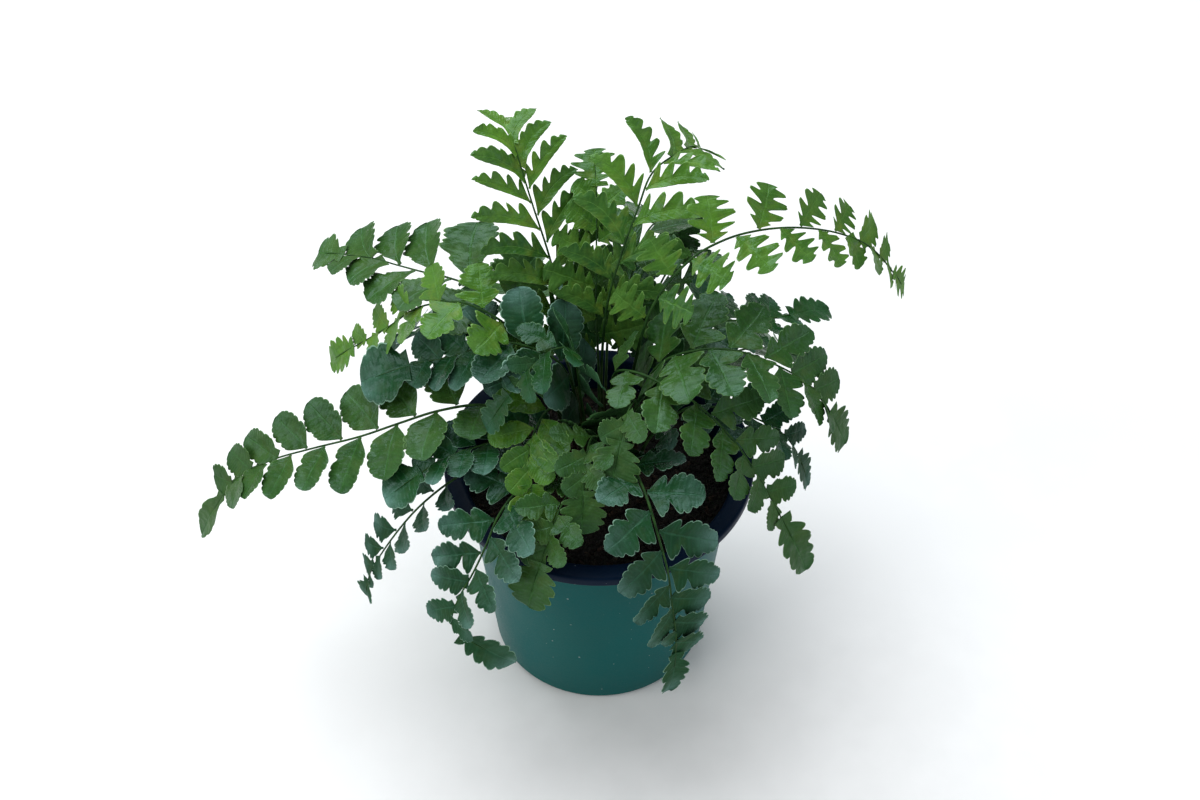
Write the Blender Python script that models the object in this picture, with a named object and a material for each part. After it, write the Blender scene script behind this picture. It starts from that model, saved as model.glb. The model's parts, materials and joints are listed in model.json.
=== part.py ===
"""Potted spleenwort fern: a nursery pot, its soil, the scaly crown, and one piece for each frond.

Every length in this file is in millimetres, every angle in degrees, and +Z is up.
add_object turns the millimetres into Blender's metres.
The origin is the middle of the pot's underside, and the fern's front faces -Y.
"""

import math
import random
from collections import namedtuple

import bpy
from mathutils import Matrix, Vector
from mathutils.bvhtree import BVHTree

METRE = 0.001
GAP = 0.3
UP = Vector((0, 0, 1))

# Pot: a squat 130 mm nursery pot with a rolled lip and six drainage holes
POT_HEIGHT = 109.0
POT_RIM_RADIUS = 65.0
POT_LIP_DROP = 4.5
POT_LIP_ROUND = 1.6
POT_TOP_RADIUS = 57.6
POT_BASE_RADIUS = 48.6
POT_BASE_BEVEL = 1.4
POT_WALL = 1.3
POT_FLOOR = 2.4
POT_SIDES = 34
DRAIN_COUNT = 6
DRAIN_RADIUS = 4.0
DRAIN_CIRCLE = 35.0
DRAIN_SIDES = 8

# Soil: it fills the pot up to 14 mm under the rim, and is level under the crown
SOIL_TOP = 95.0
SOIL_LUMPS = 1.6
SOIL_SIDES = 26
SOIL_RINGS = (9.0, 24.0, 31.0, 38.0, 45.0, 51.0)
SOIL_LEVEL_RADIUS = 24.0
SOIL_SEED = 5

# Crown: the low scaly rhizome that every frond grows from
CROWN_RADIUS = 22.5
CROWN_HEIGHT = 9.0
CROWN_EDGE = 1.6
CROWN_SIDES = 16
CROWN_RINGS = (7.0, 13.5, 19.0)
CROWN_LUMPS = 0.7
CROWN_SEED = 9
HOLE_RADIUS = 1.95
HOLE_SIDES = 5
HOLE_FLOOR = SOIL_TOP + GAP + 2.2

# Stalks: a three-sided stem under each frond, a flat face on top and a keel below
STALK_FOOT = HOLE_FLOOR + GAP
STALK_STRAIGHT = 6.5
STALK_WIDTH = 2.0
STALK_TIP_WIDTH = 0.95
STALK_DEPTH = 0.85
STALK_STEP = 15.0
STALK_TAPER = 0.7
LEVELLING = 0.85
CURVE_STEPS = 160

# Leaflets: thin blades on alternate sides of the stalk
BLADE = 0.75
ROOT_WIDTH = 2.1
LEAFLET_ANGLE = (72.0, 44.0)
LEAFLET_TILT = 10.0
LEAFLET_RAISE = 10.0
LARGE_LEAFLET = 11.5
SMALL_LEAFLET = 8.0
CROWDING = 1.04
SHORT_FIRST = 0.80
FULL_FROM = 0.25
SHRINK_FROM = 0.3
SHRINK_POWER = 1.4
SHORT_LAST = 0.42
OPEN_SPACING = 1.22
LAST_SHARE = 0.35
END_OVERLAP = 0.25
END_WIDTH = 0.95
WEDGE = 0.24
EAR_PLACE = 0.27
EAR_SPREAD = 0.13
NOTCH_PULL = 0.18
CLEARANCE = 0.1
EDGE_START = 0.16

# Seeded draws that make each leaflet a little different: its angle, its raise and its length
ANGLE_DRAW = 5.0
RAISE_DRAW = 7.0
LENGTH_DRAW = (0.93, 1.05)

# Places along a leaflet's edge, from root to tip, with 1 in a notch and 0 on a lobe
LARGE_EDGE = ((0.27, 0), (0.45, 1), (0.68, 0))
MIDDLE_EDGE = ((0.36, 0), (0.66, 0.5))
SMALL_EDGE = ((0.45, 0),)

Style = namedtuple("Style", "width egg lobe_depth ear droop cup")
STYLES = {
    "round": Style(width=0.78, egg=0.18, lobe_depth=0.22, ear=0.0, droop=0.08, cup=0.08),
    "oak": Style(width=0.76, egg=0.15, lobe_depth=0.46, ear=0.0, droop=0.10, cup=0.10),
    "finger": Style(width=0.50, egg=0.0, lobe_depth=0.50, ear=0.0, droop=0.08, cup=0.12),
    "fan": Style(width=0.92, egg=0.30, lobe_depth=0.20, ear=0.0, droop=0.08, cup=0.08),
    "eared": Style(width=0.66, egg=0.0, lobe_depth=0.30, ear=0.34, droop=0.10, cup=0.10),
}
COLOURS = {
    "light": (0.26, 0.47, 0.10),
    "mid": (0.11, 0.31, 0.09),
    "dark": (0.045, 0.17, 0.07),
    "blue": (0.07, 0.22, 0.16),
}

# Fronds: name, leaflet style and colour, where the leaflets start along the frond, how many there are,
# the longest of them, the end leaflet, the roll of the blade about the stalk, and the stalk's route.
# A route starts at the foot and then lists points on the arching stalk, up to the tip of the end leaflet.
Frond = namedtuple("Frond", "name style colour start count longest end roll foot route")
FRONDS = (
    Frond("frond_tall_back_left", "finger", "light", 0.38, 17, 30, 12, 0, (-3, 7),
          ((-8, 15, 130), (-13, 22, 160), (-19, 32, 187), (-26, 43, 207), (-31, 52, 221), (-34, 60, 227),
           (-36, 68, 227), (-38, 77, 220))),
    Frond("frond_tall_back_right", "finger", "light", 0.42, 15, 26, 14, 8, (3, 7),
          ((1, 13, 140), (3, 17, 176), (9, 24, 199), (15, 33, 213), (20, 42, 222), (29, 53, 223),
           (39, 69, 216), (46, 82, 198))),
    Frond("frond_long_right", "oak", "light", 0.38, 16, 23, 12, 14, (8, 2),
          ((13, 4, 150), (20, 7, 184), (33, 12, 203), (47, 17, 210), (62, 22, 211), (78, 27, 208),
           (95, 33, 200), (110, 39, 187), (127, 46, 162))),
    Frond("frond_middle_right", "round", "mid", 0.36, 14, 24, 15, 8, (12, -2),
          ((16, -3, 145), (24, -5, 167), (38, -8, 177), (53, -11, 179), (68, -15, 175), (80, -17, 167),
           (89, -19, 155), (95, -20, 140))),
    Frond("frond_shaded_right", "oak", "dark", 0.40, 12, 21, 15, 10, (15, 7),
          ((21, 11, 140), (34, 17, 163), (48, 25, 162), (63, 33, 155), (79, 42, 150), (94, 50, 147))),
    Frond("frond_arching_front_right", "eared", "mid", 0.40, 14, 22, 18, 12, (6, -3),
          ((5, -3, 140), (6, -5, 161), (14, -11, 168), (25, -18, 168), (36, -25, 166), (50, -34, 156),
           (61, -42, 142), (71, -49, 125), (79, -55, 111))),
    Frond("frond_over_front_right", "eared", "blue", 0.24, 15, 25, 14, 0, (7, -12),
          ((9, -20, 126), (13, -36, 141), (17, -50, 144), (20, -60, 141), (23, -67, 133), (26, -73, 123),
           (28, -77, 107), (30, -79, 89), (30, -80, 66))),
    Frond("frond_over_front_left", "eared", "blue", 0.28, 13, 23, 20, 0, (-7, -11),
          ((-14, -22, 124), (-24, -33, 133), (-33, -42, 132), (-39, -50, 128), (-43, -58, 122),
           (-48, -65, 114), (-54, -71, 105), (-57, -75, 97), (-54, -78, 91), (-45, -80, 88), (-34, -81, 86))),
    Frond("frond_trailing_left", "fan", "blue", 0.52, 11, 13, 9, -15, (-16, -9),
          ((-26, -14, 119), (-44, -23, 131), (-58, -29, 126), (-70, -31, 115), (-79, -34, 105),
           (-88, -37, 92), (-95, -39, 79), (-98, -41, 66))),
    Frond("frond_long_left", "round", "mid", 0.34, 16, 23, 18, -10, (-15, -3),
          ((-20, -4, 118), (-31, -5, 137), (-46, -7, 146), (-63, -9, 145), (-79, -11, 140), (-96, -13, 134),
           (-116, -15, 129), (-133, -16, 123), (-149, -17, 112), (-165, -19, 88))),
    Frond("frond_upper_left", "fan", "mid", 0.42, 11, 26, 12, -18, (-10, 8),
          ((-18, 14, 140), (-33, 20, 169), (-48, 27, 177), (-60, 33, 178), (-71, 39, 176), (-83, 46, 174),
           (-95, 53, 172), (-118, 64, 166))),
    Frond("frond_middle_left", "round", "blue", 0.32, 13, 23, 19, -10, (-7, 2),
          ((-9, 1, 140), (-16, 0, 163), (-33, 0, 173), (-48, 1, 169), (-61, 2, 163), (-73, 3, 159),
           (-93, 3, 150))),
    Frond("frond_young_left", "oak", "light", 0.40, 12, 20, 15, -8, (-12, 3),
          ((-19, 4, 140), (-33, 6, 173), (-50, 9, 185), (-62, 12, 183), (-73, 16, 176), (-86, 19, 163),
           (-112, 25, 140))),
    Frond("frond_lower_left", "round", "blue", 0.30, 12, 19, 15, -6, (-11, -6),
          ((-18, -9, 124), (-30, -15, 136), (-43, -21, 139), (-58, -28, 139), (-68, -32, 135),
           (-82, -38, 127))),
    Frond("frond_centre_front", "round", "light", 0.34, 12, 21, 15, 0, (-4, -7),
          ((-10, -6, 128), (-18, -11, 148), (-24, -21, 149), (-27, -32, 143), (-26, -42, 136),
           (-25, -50, 124))),
    Frond("frond_centre_right", "round", "mid", 0.38, 10, 19, 15, 0, (2, -7),
          ((8, -10, 128), (13, -15, 150), (14, -21, 163), (11, -29, 165), (8, -37, 156), (6, -44, 143))),
    Frond("frond_centre_left", "eared", "dark", 0.36, 12, 21, 15, -10, (-5, -2),
          ((-7, -4, 145), (-10, -7, 174), (-17, -11, 180), (-25, -15, 175), (-33, -19, 166),
           (-43, -24, 152))),
    Frond("frond_centre_low", "round", "mid", 0.36, 10, 16, 13, 0, (3, -16),
          ((2, -17, 125), (0, -21, 142), (-3, -28, 149), (-5, -37, 147), (-6, -46, 140), (-6, -54, 128))),
    Frond("frond_short_front", "round", "mid", 0.34, 10, 18, 15, 0, (-2, -15),
          ((-4, -23, 119), (-9, -36, 131), (-14, -48, 134), (-18, -58, 130), (-22, -66, 121),
           (-27, -74, 108))),
    Frond("frond_low_right", "eared", "blue", 0.34, 12, 20, 15, 10, (13, -8),
          ((21, -9, 130), (34, -11, 148), (45, -13, 151), (57, -16, 150), (69, -20, 146), (77, -22, 137),
           (84, -24, 119))),
    Frond("frond_back_upright", "oak", "light", 0.44, 11, 21, 14, 0, (0, 11),
          ((0, 16, 135), (-1, 24, 168), (-1, 35, 191), (-1, 49, 206), (-2, 66, 215))),
    Frond("frond_back_middle", "round", "mid", 0.42, 12, 20, 13, 0, (5, 12),
          ((8, 22, 148), (13, 36, 176), (19, 52, 185), (26, 68, 180), (33, 83, 165), (38, 92, 147))),
    Frond("frond_back_right_low", "round", "mid", 0.34, 13, 20, 14, 0, (17, 3),
          ((26, 8, 124), (42, 18, 141), (59, 30, 141), (74, 42, 131), (86, 53, 116), (93, 62, 99))),
    Frond("frond_back_right", "oak", "mid", 0.36, 12, 21, 14, 0, (10, 13),
          ((15, 25, 134), (23, 43, 158), (31, 62, 161), (39, 80, 153), (46, 95, 139), (50, 105, 122))),
    Frond("frond_back", "round", "dark", 0.36, 12, 22, 14, 0, (2, 16),
          ((3, 28, 130), (4, 48, 152), (4, 69, 154), (2, 88, 145), (0, 103, 130), (-1, 112, 112))),
    Frond("frond_back_left", "eared", "mid", 0.36, 13, 21, 15, 0, (-6, 15),
          ((-12, 28, 130), (-23, 46, 148), (-34, 63, 150), (-45, 80, 142), (-55, 94, 128), (-60, 102, 110))),
    Frond("frond_back_left_low", "round", "blue", 0.34, 12, 20, 14, 0, (-16, 10),
          ((-27, 18, 120), (-44, 31, 137), (-61, 44, 139), (-76, 56, 131), (-89, 66, 117), (-96, 72, 100))),
)

# A leaflet that would touch a neighbour takes the first of these that is clear:
# raised about the stalk, swung along the stalk, and its size.
CHOICES = (
    (0, 0, 1.0), (12, 0, 1.0), (-12, 0, 1.0), (24, 0, 1.0), (-24, 0, 1.0), (0, 12, 0.92), (0, -12, 0.92),
    (36, 0, 0.95), (-36, 0, 0.95), (20, 14, 0.85), (-20, 14, 0.85), (20, -14, 0.85), (-20, -14, 0.85),
    (48, 0, 0.85), (-48, 0, 0.85), (0, 0, 0.70), (28, 0, 0.70), (-28, 0, 0.70), (60, 10, 0.75),
    (-60, 10, 0.75), (0, 16, 0.55), (0, -16, 0.55),
)


def clear_scene():
    """Remove whatever the open scene holds."""
    for item in list(bpy.data.objects):
        bpy.data.objects.remove(item, do_unlink=True)


def make_material(name, colour, roughness):
    """A Principled material with one colour and roughness."""
    material = bpy.data.materials.new(name)
    material.use_nodes = True
    shader = material.node_tree.nodes["Principled BSDF"]
    shader.inputs["Base Color"].default_value = (*colour, 1.0)
    shader.inputs["Roughness"].default_value = roughness
    shader.inputs["Metallic"].default_value = 0.0
    material.diffuse_color = (*colour, 1.0)
    return material


def add_object(name, points, faces, material=None):
    """Make a mesh object from points in millimetres."""
    mesh = bpy.data.meshes.new(name)
    mesh.from_pydata([Vector(point) * METRE for point in points], [], faces)
    mesh.validate()
    mesh.update()
    item = bpy.data.objects.new(name, mesh)
    bpy.context.collection.objects.link(item)
    if material:
        mesh.materials.append(material)
    return item


def turned(profile, sides):
    """Points and faces of a profile turned about Z; its first and last point lie on the axis."""
    points = [(0, 0, profile[0][1])]
    for radius, height in profile[1:-1]:
        for side in range(sides):
            angle = math.tau * side / sides
            points.append((radius * math.cos(angle), radius * math.sin(angle), height))
    points.append((0, 0, profile[-1][1]))
    last = len(points) - 1
    faces = []
    for side in range(sides):
        following = (side + 1) % sides
        faces.append((0, 1 + following, 1 + side))
        for ring in range(len(profile) - 3):
            low = 1 + ring * sides
            high = low + sides
            faces.append((low + side, low + following, high + following, high + side))
        top = last - sides
        faces.append((last, top + side, top + following))
    return points, faces


def arc(centre, radius, start, end, steps):
    """Points along an arc of the profile plane, angles from +R towards +Z."""
    points = []
    for step in range(steps + 1):
        angle = math.radians(start + (end - start) * step / steps)
        points.append((centre[0] + radius * math.cos(angle), centre[1] + radius * math.sin(angle)))
    return points


def prisms(places, radius, sides, low, high):
    """Upright prisms at the given places, as one set of points and faces."""
    points = []
    faces = []
    for x, y in places:
        first = len(points)
        for height in (low, high):
            for side in range(sides):
                angle = math.tau * side / sides
                points.append((x + radius * math.cos(angle), y + radius * math.sin(angle), height))
        faces.append(tuple(first + side for side in reversed(range(sides))))
        faces.append(tuple(first + sides + side for side in range(sides)))
        for side in range(sides):
            following = (side + 1) % sides
            faces.append((first + side, first + following, first + sides + following, first + sides + side))
    return points, faces


def cut(target, points, faces):
    """Cut the given closed shapes out of an object and keep the result as its mesh."""
    cutter = add_object("cutter", points, faces)
    modifier = target.modifiers.new("cut", "BOOLEAN")
    modifier.operation = "DIFFERENCE"
    modifier.solver = "EXACT"
    modifier.object = cutter
    graph = bpy.context.evaluated_depsgraph_get()
    result = bpy.data.meshes.new_from_object(target.evaluated_get(graph))
    target.modifiers.clear()
    target.data = result
    bpy.data.objects.remove(cutter, do_unlink=True)


def build_pot():
    """The pot, from the middle of its underside up the outside, over the lip and down the inside."""
    lip_low = POT_HEIGHT - POT_LIP_DROP
    lip_centre = (POT_RIM_RADIUS - POT_LIP_ROUND, POT_HEIGHT - POT_LIP_ROUND)
    inner_top = POT_TOP_RADIUS - POT_WALL
    inner_base = POT_BASE_RADIUS - POT_WALL
    profile = [
        (0, 0),
        (POT_BASE_RADIUS - POT_BASE_BEVEL, 0),
        (POT_BASE_RADIUS, POT_BASE_BEVEL),
        (POT_TOP_RADIUS, lip_low),
        (POT_RIM_RADIUS, lip_low),
        *arc(lip_centre, POT_LIP_ROUND, 0, 90, 2),
        (inner_top + POT_LIP_ROUND, POT_HEIGHT),
        (inner_top, POT_HEIGHT - POT_LIP_ROUND),
        (inner_base, POT_FLOOR),
        (0, POT_FLOOR),
    ]
    material = make_material("pot_plastic", (0.02, 0.13, 0.12), 0.35)
    pot = add_object("pot", *turned(profile, POT_SIDES), material)
    places = []
    for hole in range(DRAIN_COUNT):
        angle = math.tau * (hole + 0.5) / DRAIN_COUNT
        places.append((DRAIN_CIRCLE * math.cos(angle), DRAIN_CIRCLE * math.sin(angle)))
    cut(pot, *prisms(places, DRAIN_RADIUS, DRAIN_SIDES, -1.0, POT_FLOOR + 1.0))
    return pot


def inner_radius(height):
    """The pot's inside radius at a height."""
    lip = POT_HEIGHT - POT_LIP_ROUND
    share = (height - POT_FLOOR) / (lip - POT_FLOOR)
    return POT_BASE_RADIUS - POT_WALL + share * (POT_TOP_RADIUS - POT_BASE_RADIUS)


def build_soil():
    """The soil: a plug that fits the pot, with a lumpy top around a level middle."""
    low = POT_FLOOR + GAP
    flat_side = math.cos(math.pi / POT_SIDES)
    profile = [
        (0, low),
        ((inner_radius(low) - GAP) * flat_side, low),
        ((inner_radius(SOIL_TOP) - GAP) * flat_side, SOIL_TOP),
    ]
    profile += [(radius, SOIL_TOP) for radius in reversed(SOIL_RINGS)]
    profile.append((0, SOIL_TOP))
    points, faces = turned(profile, SOIL_SIDES)
    draw = random.Random(SOIL_SEED)
    lumpy = []
    for x, y, z in points:
        if z == SOIL_TOP and math.hypot(x, y) > SOIL_LEVEL_RADIUS + 1.0:
            z -= draw.uniform(0.0, SOIL_LUMPS)
        lumpy.append((x, y, z))
    return add_object("soil", lumpy, faces, make_material("soil_mix", (0.03, 0.02, 0.015), 0.95))


def crown_height(radius):
    """Height of the crown's dome above its underside at a distance from the middle."""
    return CROWN_EDGE + (CROWN_HEIGHT - CROWN_EDGE) * math.cos(0.5 * math.pi * radius / CROWN_RADIUS) ** 0.8


def build_crown():
    """The crown: a low lumpy dome on the soil, with a plain hole for each stalk."""
    low = SOIL_TOP + GAP
    profile = [(0, low), (CROWN_RADIUS, low), (CROWN_RADIUS, low + CROWN_EDGE)]
    profile += [(radius, low + crown_height(radius)) for radius in reversed(CROWN_RINGS)]
    profile.append((0, low + CROWN_HEIGHT))
    points, faces = turned(profile, CROWN_SIDES)
    draw = random.Random(CROWN_SEED)
    lumpy = []
    for x, y, z in points:
        if z > low + CROWN_EDGE:
            z += draw.uniform(-CROWN_LUMPS, CROWN_LUMPS)
        lumpy.append((x, y, z))
    crown = add_object("crown", lumpy, faces, make_material("crown_scales", (0.06, 0.035, 0.02), 0.9))
    places = [frond.foot for frond in FRONDS]
    cut(crown, *prisms(places, HOLE_RADIUS, HOLE_SIDES, HOLE_FLOOR, low + 2 * CROWN_HEIGHT))
    return crown


def curve_point(points, position):
    """A point of the smooth curve through the points; position counts the spans."""
    span = min(int(position), len(points) - 2)
    t = position - span
    here = points[span]
    there = points[span + 1]
    before = points[span - 1] if span > 0 else here * 2 - there
    after = points[span + 2] if span + 2 < len(points) else there * 2 - here
    return 0.5 * (2 * here + (there - before) * t + (2 * before - 5 * here + 4 * there - after) * t ** 2
                  + (3 * here - before - 3 * there + after) * t ** 3)


class Stalk:
    """A frond's stalk: its curve measured along its length, with a frame at each place."""

    def __init__(self, frond):
        foot = Vector((*frond.foot, STALK_FOOT))
        points = [foot, foot + UP * STALK_STRAIGHT] + [Vector(point) for point in frond.route]
        spans = len(points) - 1
        self.points = [curve_point(points, spans * step / CURVE_STEPS) for step in range(CURVE_STEPS + 1)]
        self.lengths = [0.0]
        for before, after in zip(self.points, self.points[1:]):
            self.lengths.append(self.lengths[-1] + (after - before).length)
        self.length = self.lengths[-1] - frond.end
        self.roll = frond.roll
        self.sides = self.carry_sides()

    def carry_sides(self):
        """Carry the sideways direction along the curve, drawing it back to level."""
        heading = self.points[-1] - self.points[0]
        side = Vector((heading.x, heading.y, 0)).normalized().cross(UP)
        sides = []
        for step in range(CURVE_STEPS + 1):
            along = self.tangent(step)
            side -= along * side.dot(along)
            side.z *= LEVELLING
            side.normalize()
            sides.append(side.copy())
        return sides

    def tangent(self, step):
        """The curve's direction at a sample."""
        before = self.points[max(step - 1, 0)]
        after = self.points[min(step + 1, CURVE_STEPS)]
        return (after - before).normalized()

    def frame(self, distance):
        """Place, direction, sideways and upper side of the stalk at a distance from its foot."""
        step = 0
        while step < CURVE_STEPS - 1 and self.lengths[step + 1] < distance:
            step += 1
        run = self.lengths[step + 1] - self.lengths[step]
        share = (distance - self.lengths[step]) / run
        place = self.points[step].lerp(self.points[step + 1], share)
        along = self.tangent(step).lerp(self.tangent(step + 1), share).normalized()
        side = self.sides[step].lerp(self.sides[step + 1], share)
        side = (side - along * side.dot(along)).normalized()
        side = Matrix.Rotation(math.radians(self.roll), 3, along) @ side
        return place, along, side, side.cross(along)

    def width(self, distance):
        """The stalk tapers from its foot to its end."""
        return STALK_WIDTH + (STALK_TIP_WIDTH - STALK_WIDTH) * (distance / self.length) ** STALK_TAPER

    def ring(self, distance):
        """The three corners of the section: left and right on top, and the keel."""
        place, _, side, upper = self.frame(distance)
        half = 0.5 * self.width(distance)
        top = place + upper * (STALK_DEPTH * half)
        return [top - side * half, top + side * half, place - upper * (STALK_DEPTH * half)]


def blade_edge(place, notch, style, ear):
    """A point of the leaflet's edge in the leaflet's own length and width; place runs from root to tip."""
    start = math.cos(math.pi * EDGE_START)
    angle = math.pi * (EDGE_START + (1 - EDGE_START) * place)
    along = (start - math.cos(angle)) / (start + 1)
    across = 0.5 * math.sin(angle) * (1 - style.egg * math.cos(angle))
    across *= min(1.0, along / WEDGE) ** 0.8
    across *= 1 + ear * math.exp(-((along - EAR_PLACE) / EAR_SPREAD) ** 2)
    depth = style.lobe_depth * notch
    return along * (1 - NOTCH_PULL * depth), across * (1 - depth)


class Leaflet:
    """A thin lobed blade: its place on the stalk, its own directions and its size."""

    def __init__(self, root, along, across, upper, length, width, style, ear, edge):
        self.root = root
        self.along = along
        self.across = across
        self.upper = upper
        self.length = length
        self.width = width
        self.style = style
        self.ear = ear
        self.edge = edge

    def surface(self, along, across):
        """A point of the upper face, arched down to the tip and cupped to the midrib."""
        height = self.style.cup * abs(across) * self.width - self.style.droop * along ** 2 * self.length
        return (self.root + self.along * (along * self.length) + self.across * (across * self.width)
                + self.upper * height)

    def outline(self, side):
        """Edge points from the root towards the tip on one side, without either end."""
        ear = self.ear if side > 0 else 0.0
        points = []
        for place, notch in self.edge:
            along, across = blade_edge(place, notch, self.style, ear)
            points.append(self.surface(along, side * across))
        return points

    def ribs(self):
        """Points on the midrib that the blade's triangles meet at."""
        return [self.surface(0.5, 0.0)] if self.edge == LARGE_EDGE else []

    def shell(self, rooted):
        """The blade with the clearance all round it, with or without its root, to test for neighbours."""
        margin = 0.5 * BLADE + GAP
        grown = Leaflet(self.root, self.along, self.across, self.upper, self.length + margin,
                        self.width + 2 * margin, self.style, self.ear, self.edge)
        ring = grown.outline(1) + [grown.surface(1.0, 0.0)] + grown.outline(-1)[::-1]
        if rooted:
            half = (0.5 * ROOT_WIDTH + GAP) / grown.width
            ring += [grown.surface(0.0, -half), grown.surface(0.0, half)]
        count = len(ring)
        rim = ring + [grown.surface(0.5, 0.0)]
        low = 0.5 * BLADE + margin + CLEARANCE
        high = margin - 0.5 * BLADE + CLEARANCE
        points = [point + self.upper * high for point in rim] + [point - self.upper * low for point in rim]
        faces = []
        for corner in range(count):
            following = (corner + 1) % count
            faces.append((corner, following, count))
            faces.append((corner + count + 1, following + count + 1, 2 * count + 1))
            faces.append((corner, following, following + count + 1))
            faces.append((corner, following + count + 1, corner + count + 1))
        return points, faces


def leaflet_sizes(frond, stalk):
    """Where each leaflet sits along the stalk, and how long it is."""
    first = frond.start * stalk.length
    last = stalk.length - END_OVERLAP * frond.end
    sizes = []
    for number in range(frond.count):
        share = number / (frond.count - LAST_SHARE)
        place = first + (last - first) * share * (OPEN_SPACING + (1 - OPEN_SPACING) * share)
        length = frond.longest * (SHORT_FIRST + (1 - SHORT_FIRST) * min(1.0, share / FULL_FROM))
        length *= 1 - (1 - SHORT_LAST) * max(0.0, (share - SHRINK_FROM) / (1 - SHRINK_FROM)) ** SHRINK_POWER
        sizes.append((place, length))
    return sizes


def hand_of(number):
    """Leaflets alternate: -1 on the left of the stalk, 1 on the right."""
    return 1 if number % 2 else -1


def place_leaflet(frond, stalk, number, place, length, spacing, choice):
    """A leaflet as one of the choices would turn and size it."""
    raised, swung, size = choice
    style = STYLES[frond.style]
    centre, along, side, upper = stalk.frame(place)
    hand = hand_of(number)
    share = number / frond.count
    angle = math.radians(LEAFLET_ANGLE[0] + (LEAFLET_ANGLE[1] - LEAFLET_ANGLE[0]) * share - swung)
    draw = random.Random(f"{frond.name} {number}")
    angle += math.radians(draw.uniform(-ANGLE_DRAW, ANGLE_DRAW))
    raised += LEAFLET_RAISE + draw.uniform(-RAISE_DRAW, RAISE_DRAW)
    length *= size * draw.uniform(*LENGTH_DRAW)
    lift = Matrix.Rotation(math.radians(-raised * hand), 3, along)
    outwards = lift @ (side * hand)
    out = along * math.cos(angle) + outwards * math.sin(angle)
    across = along * math.sin(angle) - outwards * math.cos(angle)
    face = lift @ upper
    tilt = math.radians(LEAFLET_TILT)
    tilted = across * math.cos(tilt) - face * math.sin(tilt)
    face = face * math.cos(tilt) + across * math.sin(tilt)
    width = min(style.width * length, 2 * spacing * math.sin(angle) * CROWDING)
    half = 0.5 * stalk.width(place)
    root = centre + side * (hand * half) + upper * (STALK_DEPTH * half)
    edge = LARGE_EDGE if length > LARGE_LEAFLET else MIDDLE_EDGE if length > SMALL_LEAFLET else SMALL_EDGE
    return Leaflet(root, out, tilted, face, length, width, style, style.ear, edge)


def end_leaflet(frond, stalk):
    """The leaflet that closes the end of the frond."""
    style = STYLES[frond.style]
    centre, along, side, upper = stalk.frame(stalk.length)
    root = centre + upper * (STALK_DEPTH * 0.5 * stalk.width(stalk.length))
    width = style.width * frond.end * END_WIDTH
    return Leaflet(root, along, side, upper, frond.end, width, style, 0.0, LARGE_EDGE)


def blade_mesh(leaflet, top_root, low_root, points, faces):
    """Add a leaflet's blade to the mesh between the root corners that the stalk already has."""
    near, far = top_root
    low_near, low_far = low_root
    hand = leaflet.along.cross(leaflet.across).dot(leaflet.upper)
    ring = leaflet.outline(-1) + [leaflet.surface(1.0, 0.0)] + leaflet.outline(1)[::-1]
    count = len(ring)
    first = len(points)
    points += ring
    points += [point - leaflet.upper * BLADE for point in ring]
    rim = [near] + [first + step for step in range(count)] + [far]
    low_rim = [low_near] + [first + count + step for step in range(count)] + [low_far]
    inner = len(points)
    ribs = leaflet.ribs()
    points += ribs
    points += [point - leaflet.upper * BLADE for point in ribs]
    sheets = []
    for edge, rib in ((rim, inner), (low_rim, inner + len(ribs))):
        if ribs:
            loop = edge + [edge[0]]
            sheets.append([(a, b, rib) for a, b in zip(loop, loop[1:]) if a != b])
        else:
            tip = edge[len(edge) // 2]
            half = len(edge) // 2
            sheet = [(edge[0], edge[step], edge[step + 1]) for step in range(1, half)]
            sheet += [(edge[-1], edge[step], edge[step + 1]) for step in range(half, len(edge) - 2)]
            if edge[0] != edge[-1]:
                sheet.append((edge[0], tip, edge[-1]))
            sheets.append(sheet)
    top, low = sheets
    walls = []
    for step in range(len(rim) - 1):
        walls.append((rim[step + 1], rim[step], low_rim[step]))
        walls.append((rim[step + 1], low_rim[step], low_rim[step + 1]))
    fresh = top + [face[::-1] for face in low] + walls
    if hand < 0:
        fresh = [face[::-1] for face in fresh]
    faces += fresh


def stalk_stations(stalk, places):
    """Distances of the stalk's rings, with the number of the leaflet whose root starts there."""
    stations = [(0.0, None), (STALK_STRAIGHT, None)]
    for number, place in enumerate(places):
        start = place - 0.5 * ROOT_WIDTH
        low = stations[-1][0]
        steps = max(1, round((start - low) / STALK_STEP))
        stations += [(low + (start - low) * step / steps, None) for step in range(1, steps)]
        stations += [(start, number), (place + 0.5 * ROOT_WIDTH, None)]
    stations.append((stalk.length, None))
    return stations


def stalk_mesh(stalk, places, hands, points, faces):
    """Add the stalk's tube; a side that carries a leaflet stays open for it.

    A leaflet's hand is 1 for the right side, -1 for the left and 0 for none.
    It gives the root corners of each leaflet and the first corner of the end ring.
    """
    stations = stalk_stations(stalk, places)
    first = len(points)
    for distance, _ in stations:
        points += stalk.ring(distance)
    faces.append((first + 2, first + 1, first))
    roots = []
    for number, (_, carried) in enumerate(stations[:-1]):
        left, right, keel = (first + 3 * number + corner for corner in range(3))
        hand = 0 if carried is None else hands[carried]
        if hand:
            near = right if hand > 0 else left
            roots.append(((near, near + 3), (keel, keel + 3)))
        faces.append((right, right + 3, left + 3, left))
        if hand >= 0:
            faces.append((left + 3, keel + 3, keel, left))
        if hand <= 0:
            faces.append((keel, keel + 3, right + 3, right))
    return roots, first + 3 * (len(stations) - 1)


def tree_of(points, faces):
    """A search tree of some triangles or quads."""
    return BVHTree.FromPolygons([tuple(point) for point in points], faces)


def object_tree(item):
    """A search tree of an object's mesh, in millimetres."""
    points = [vertex.co / METRE for vertex in item.data.vertices]
    return tree_of(points, [tuple(face.vertices) for face in item.data.polygons])


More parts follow.
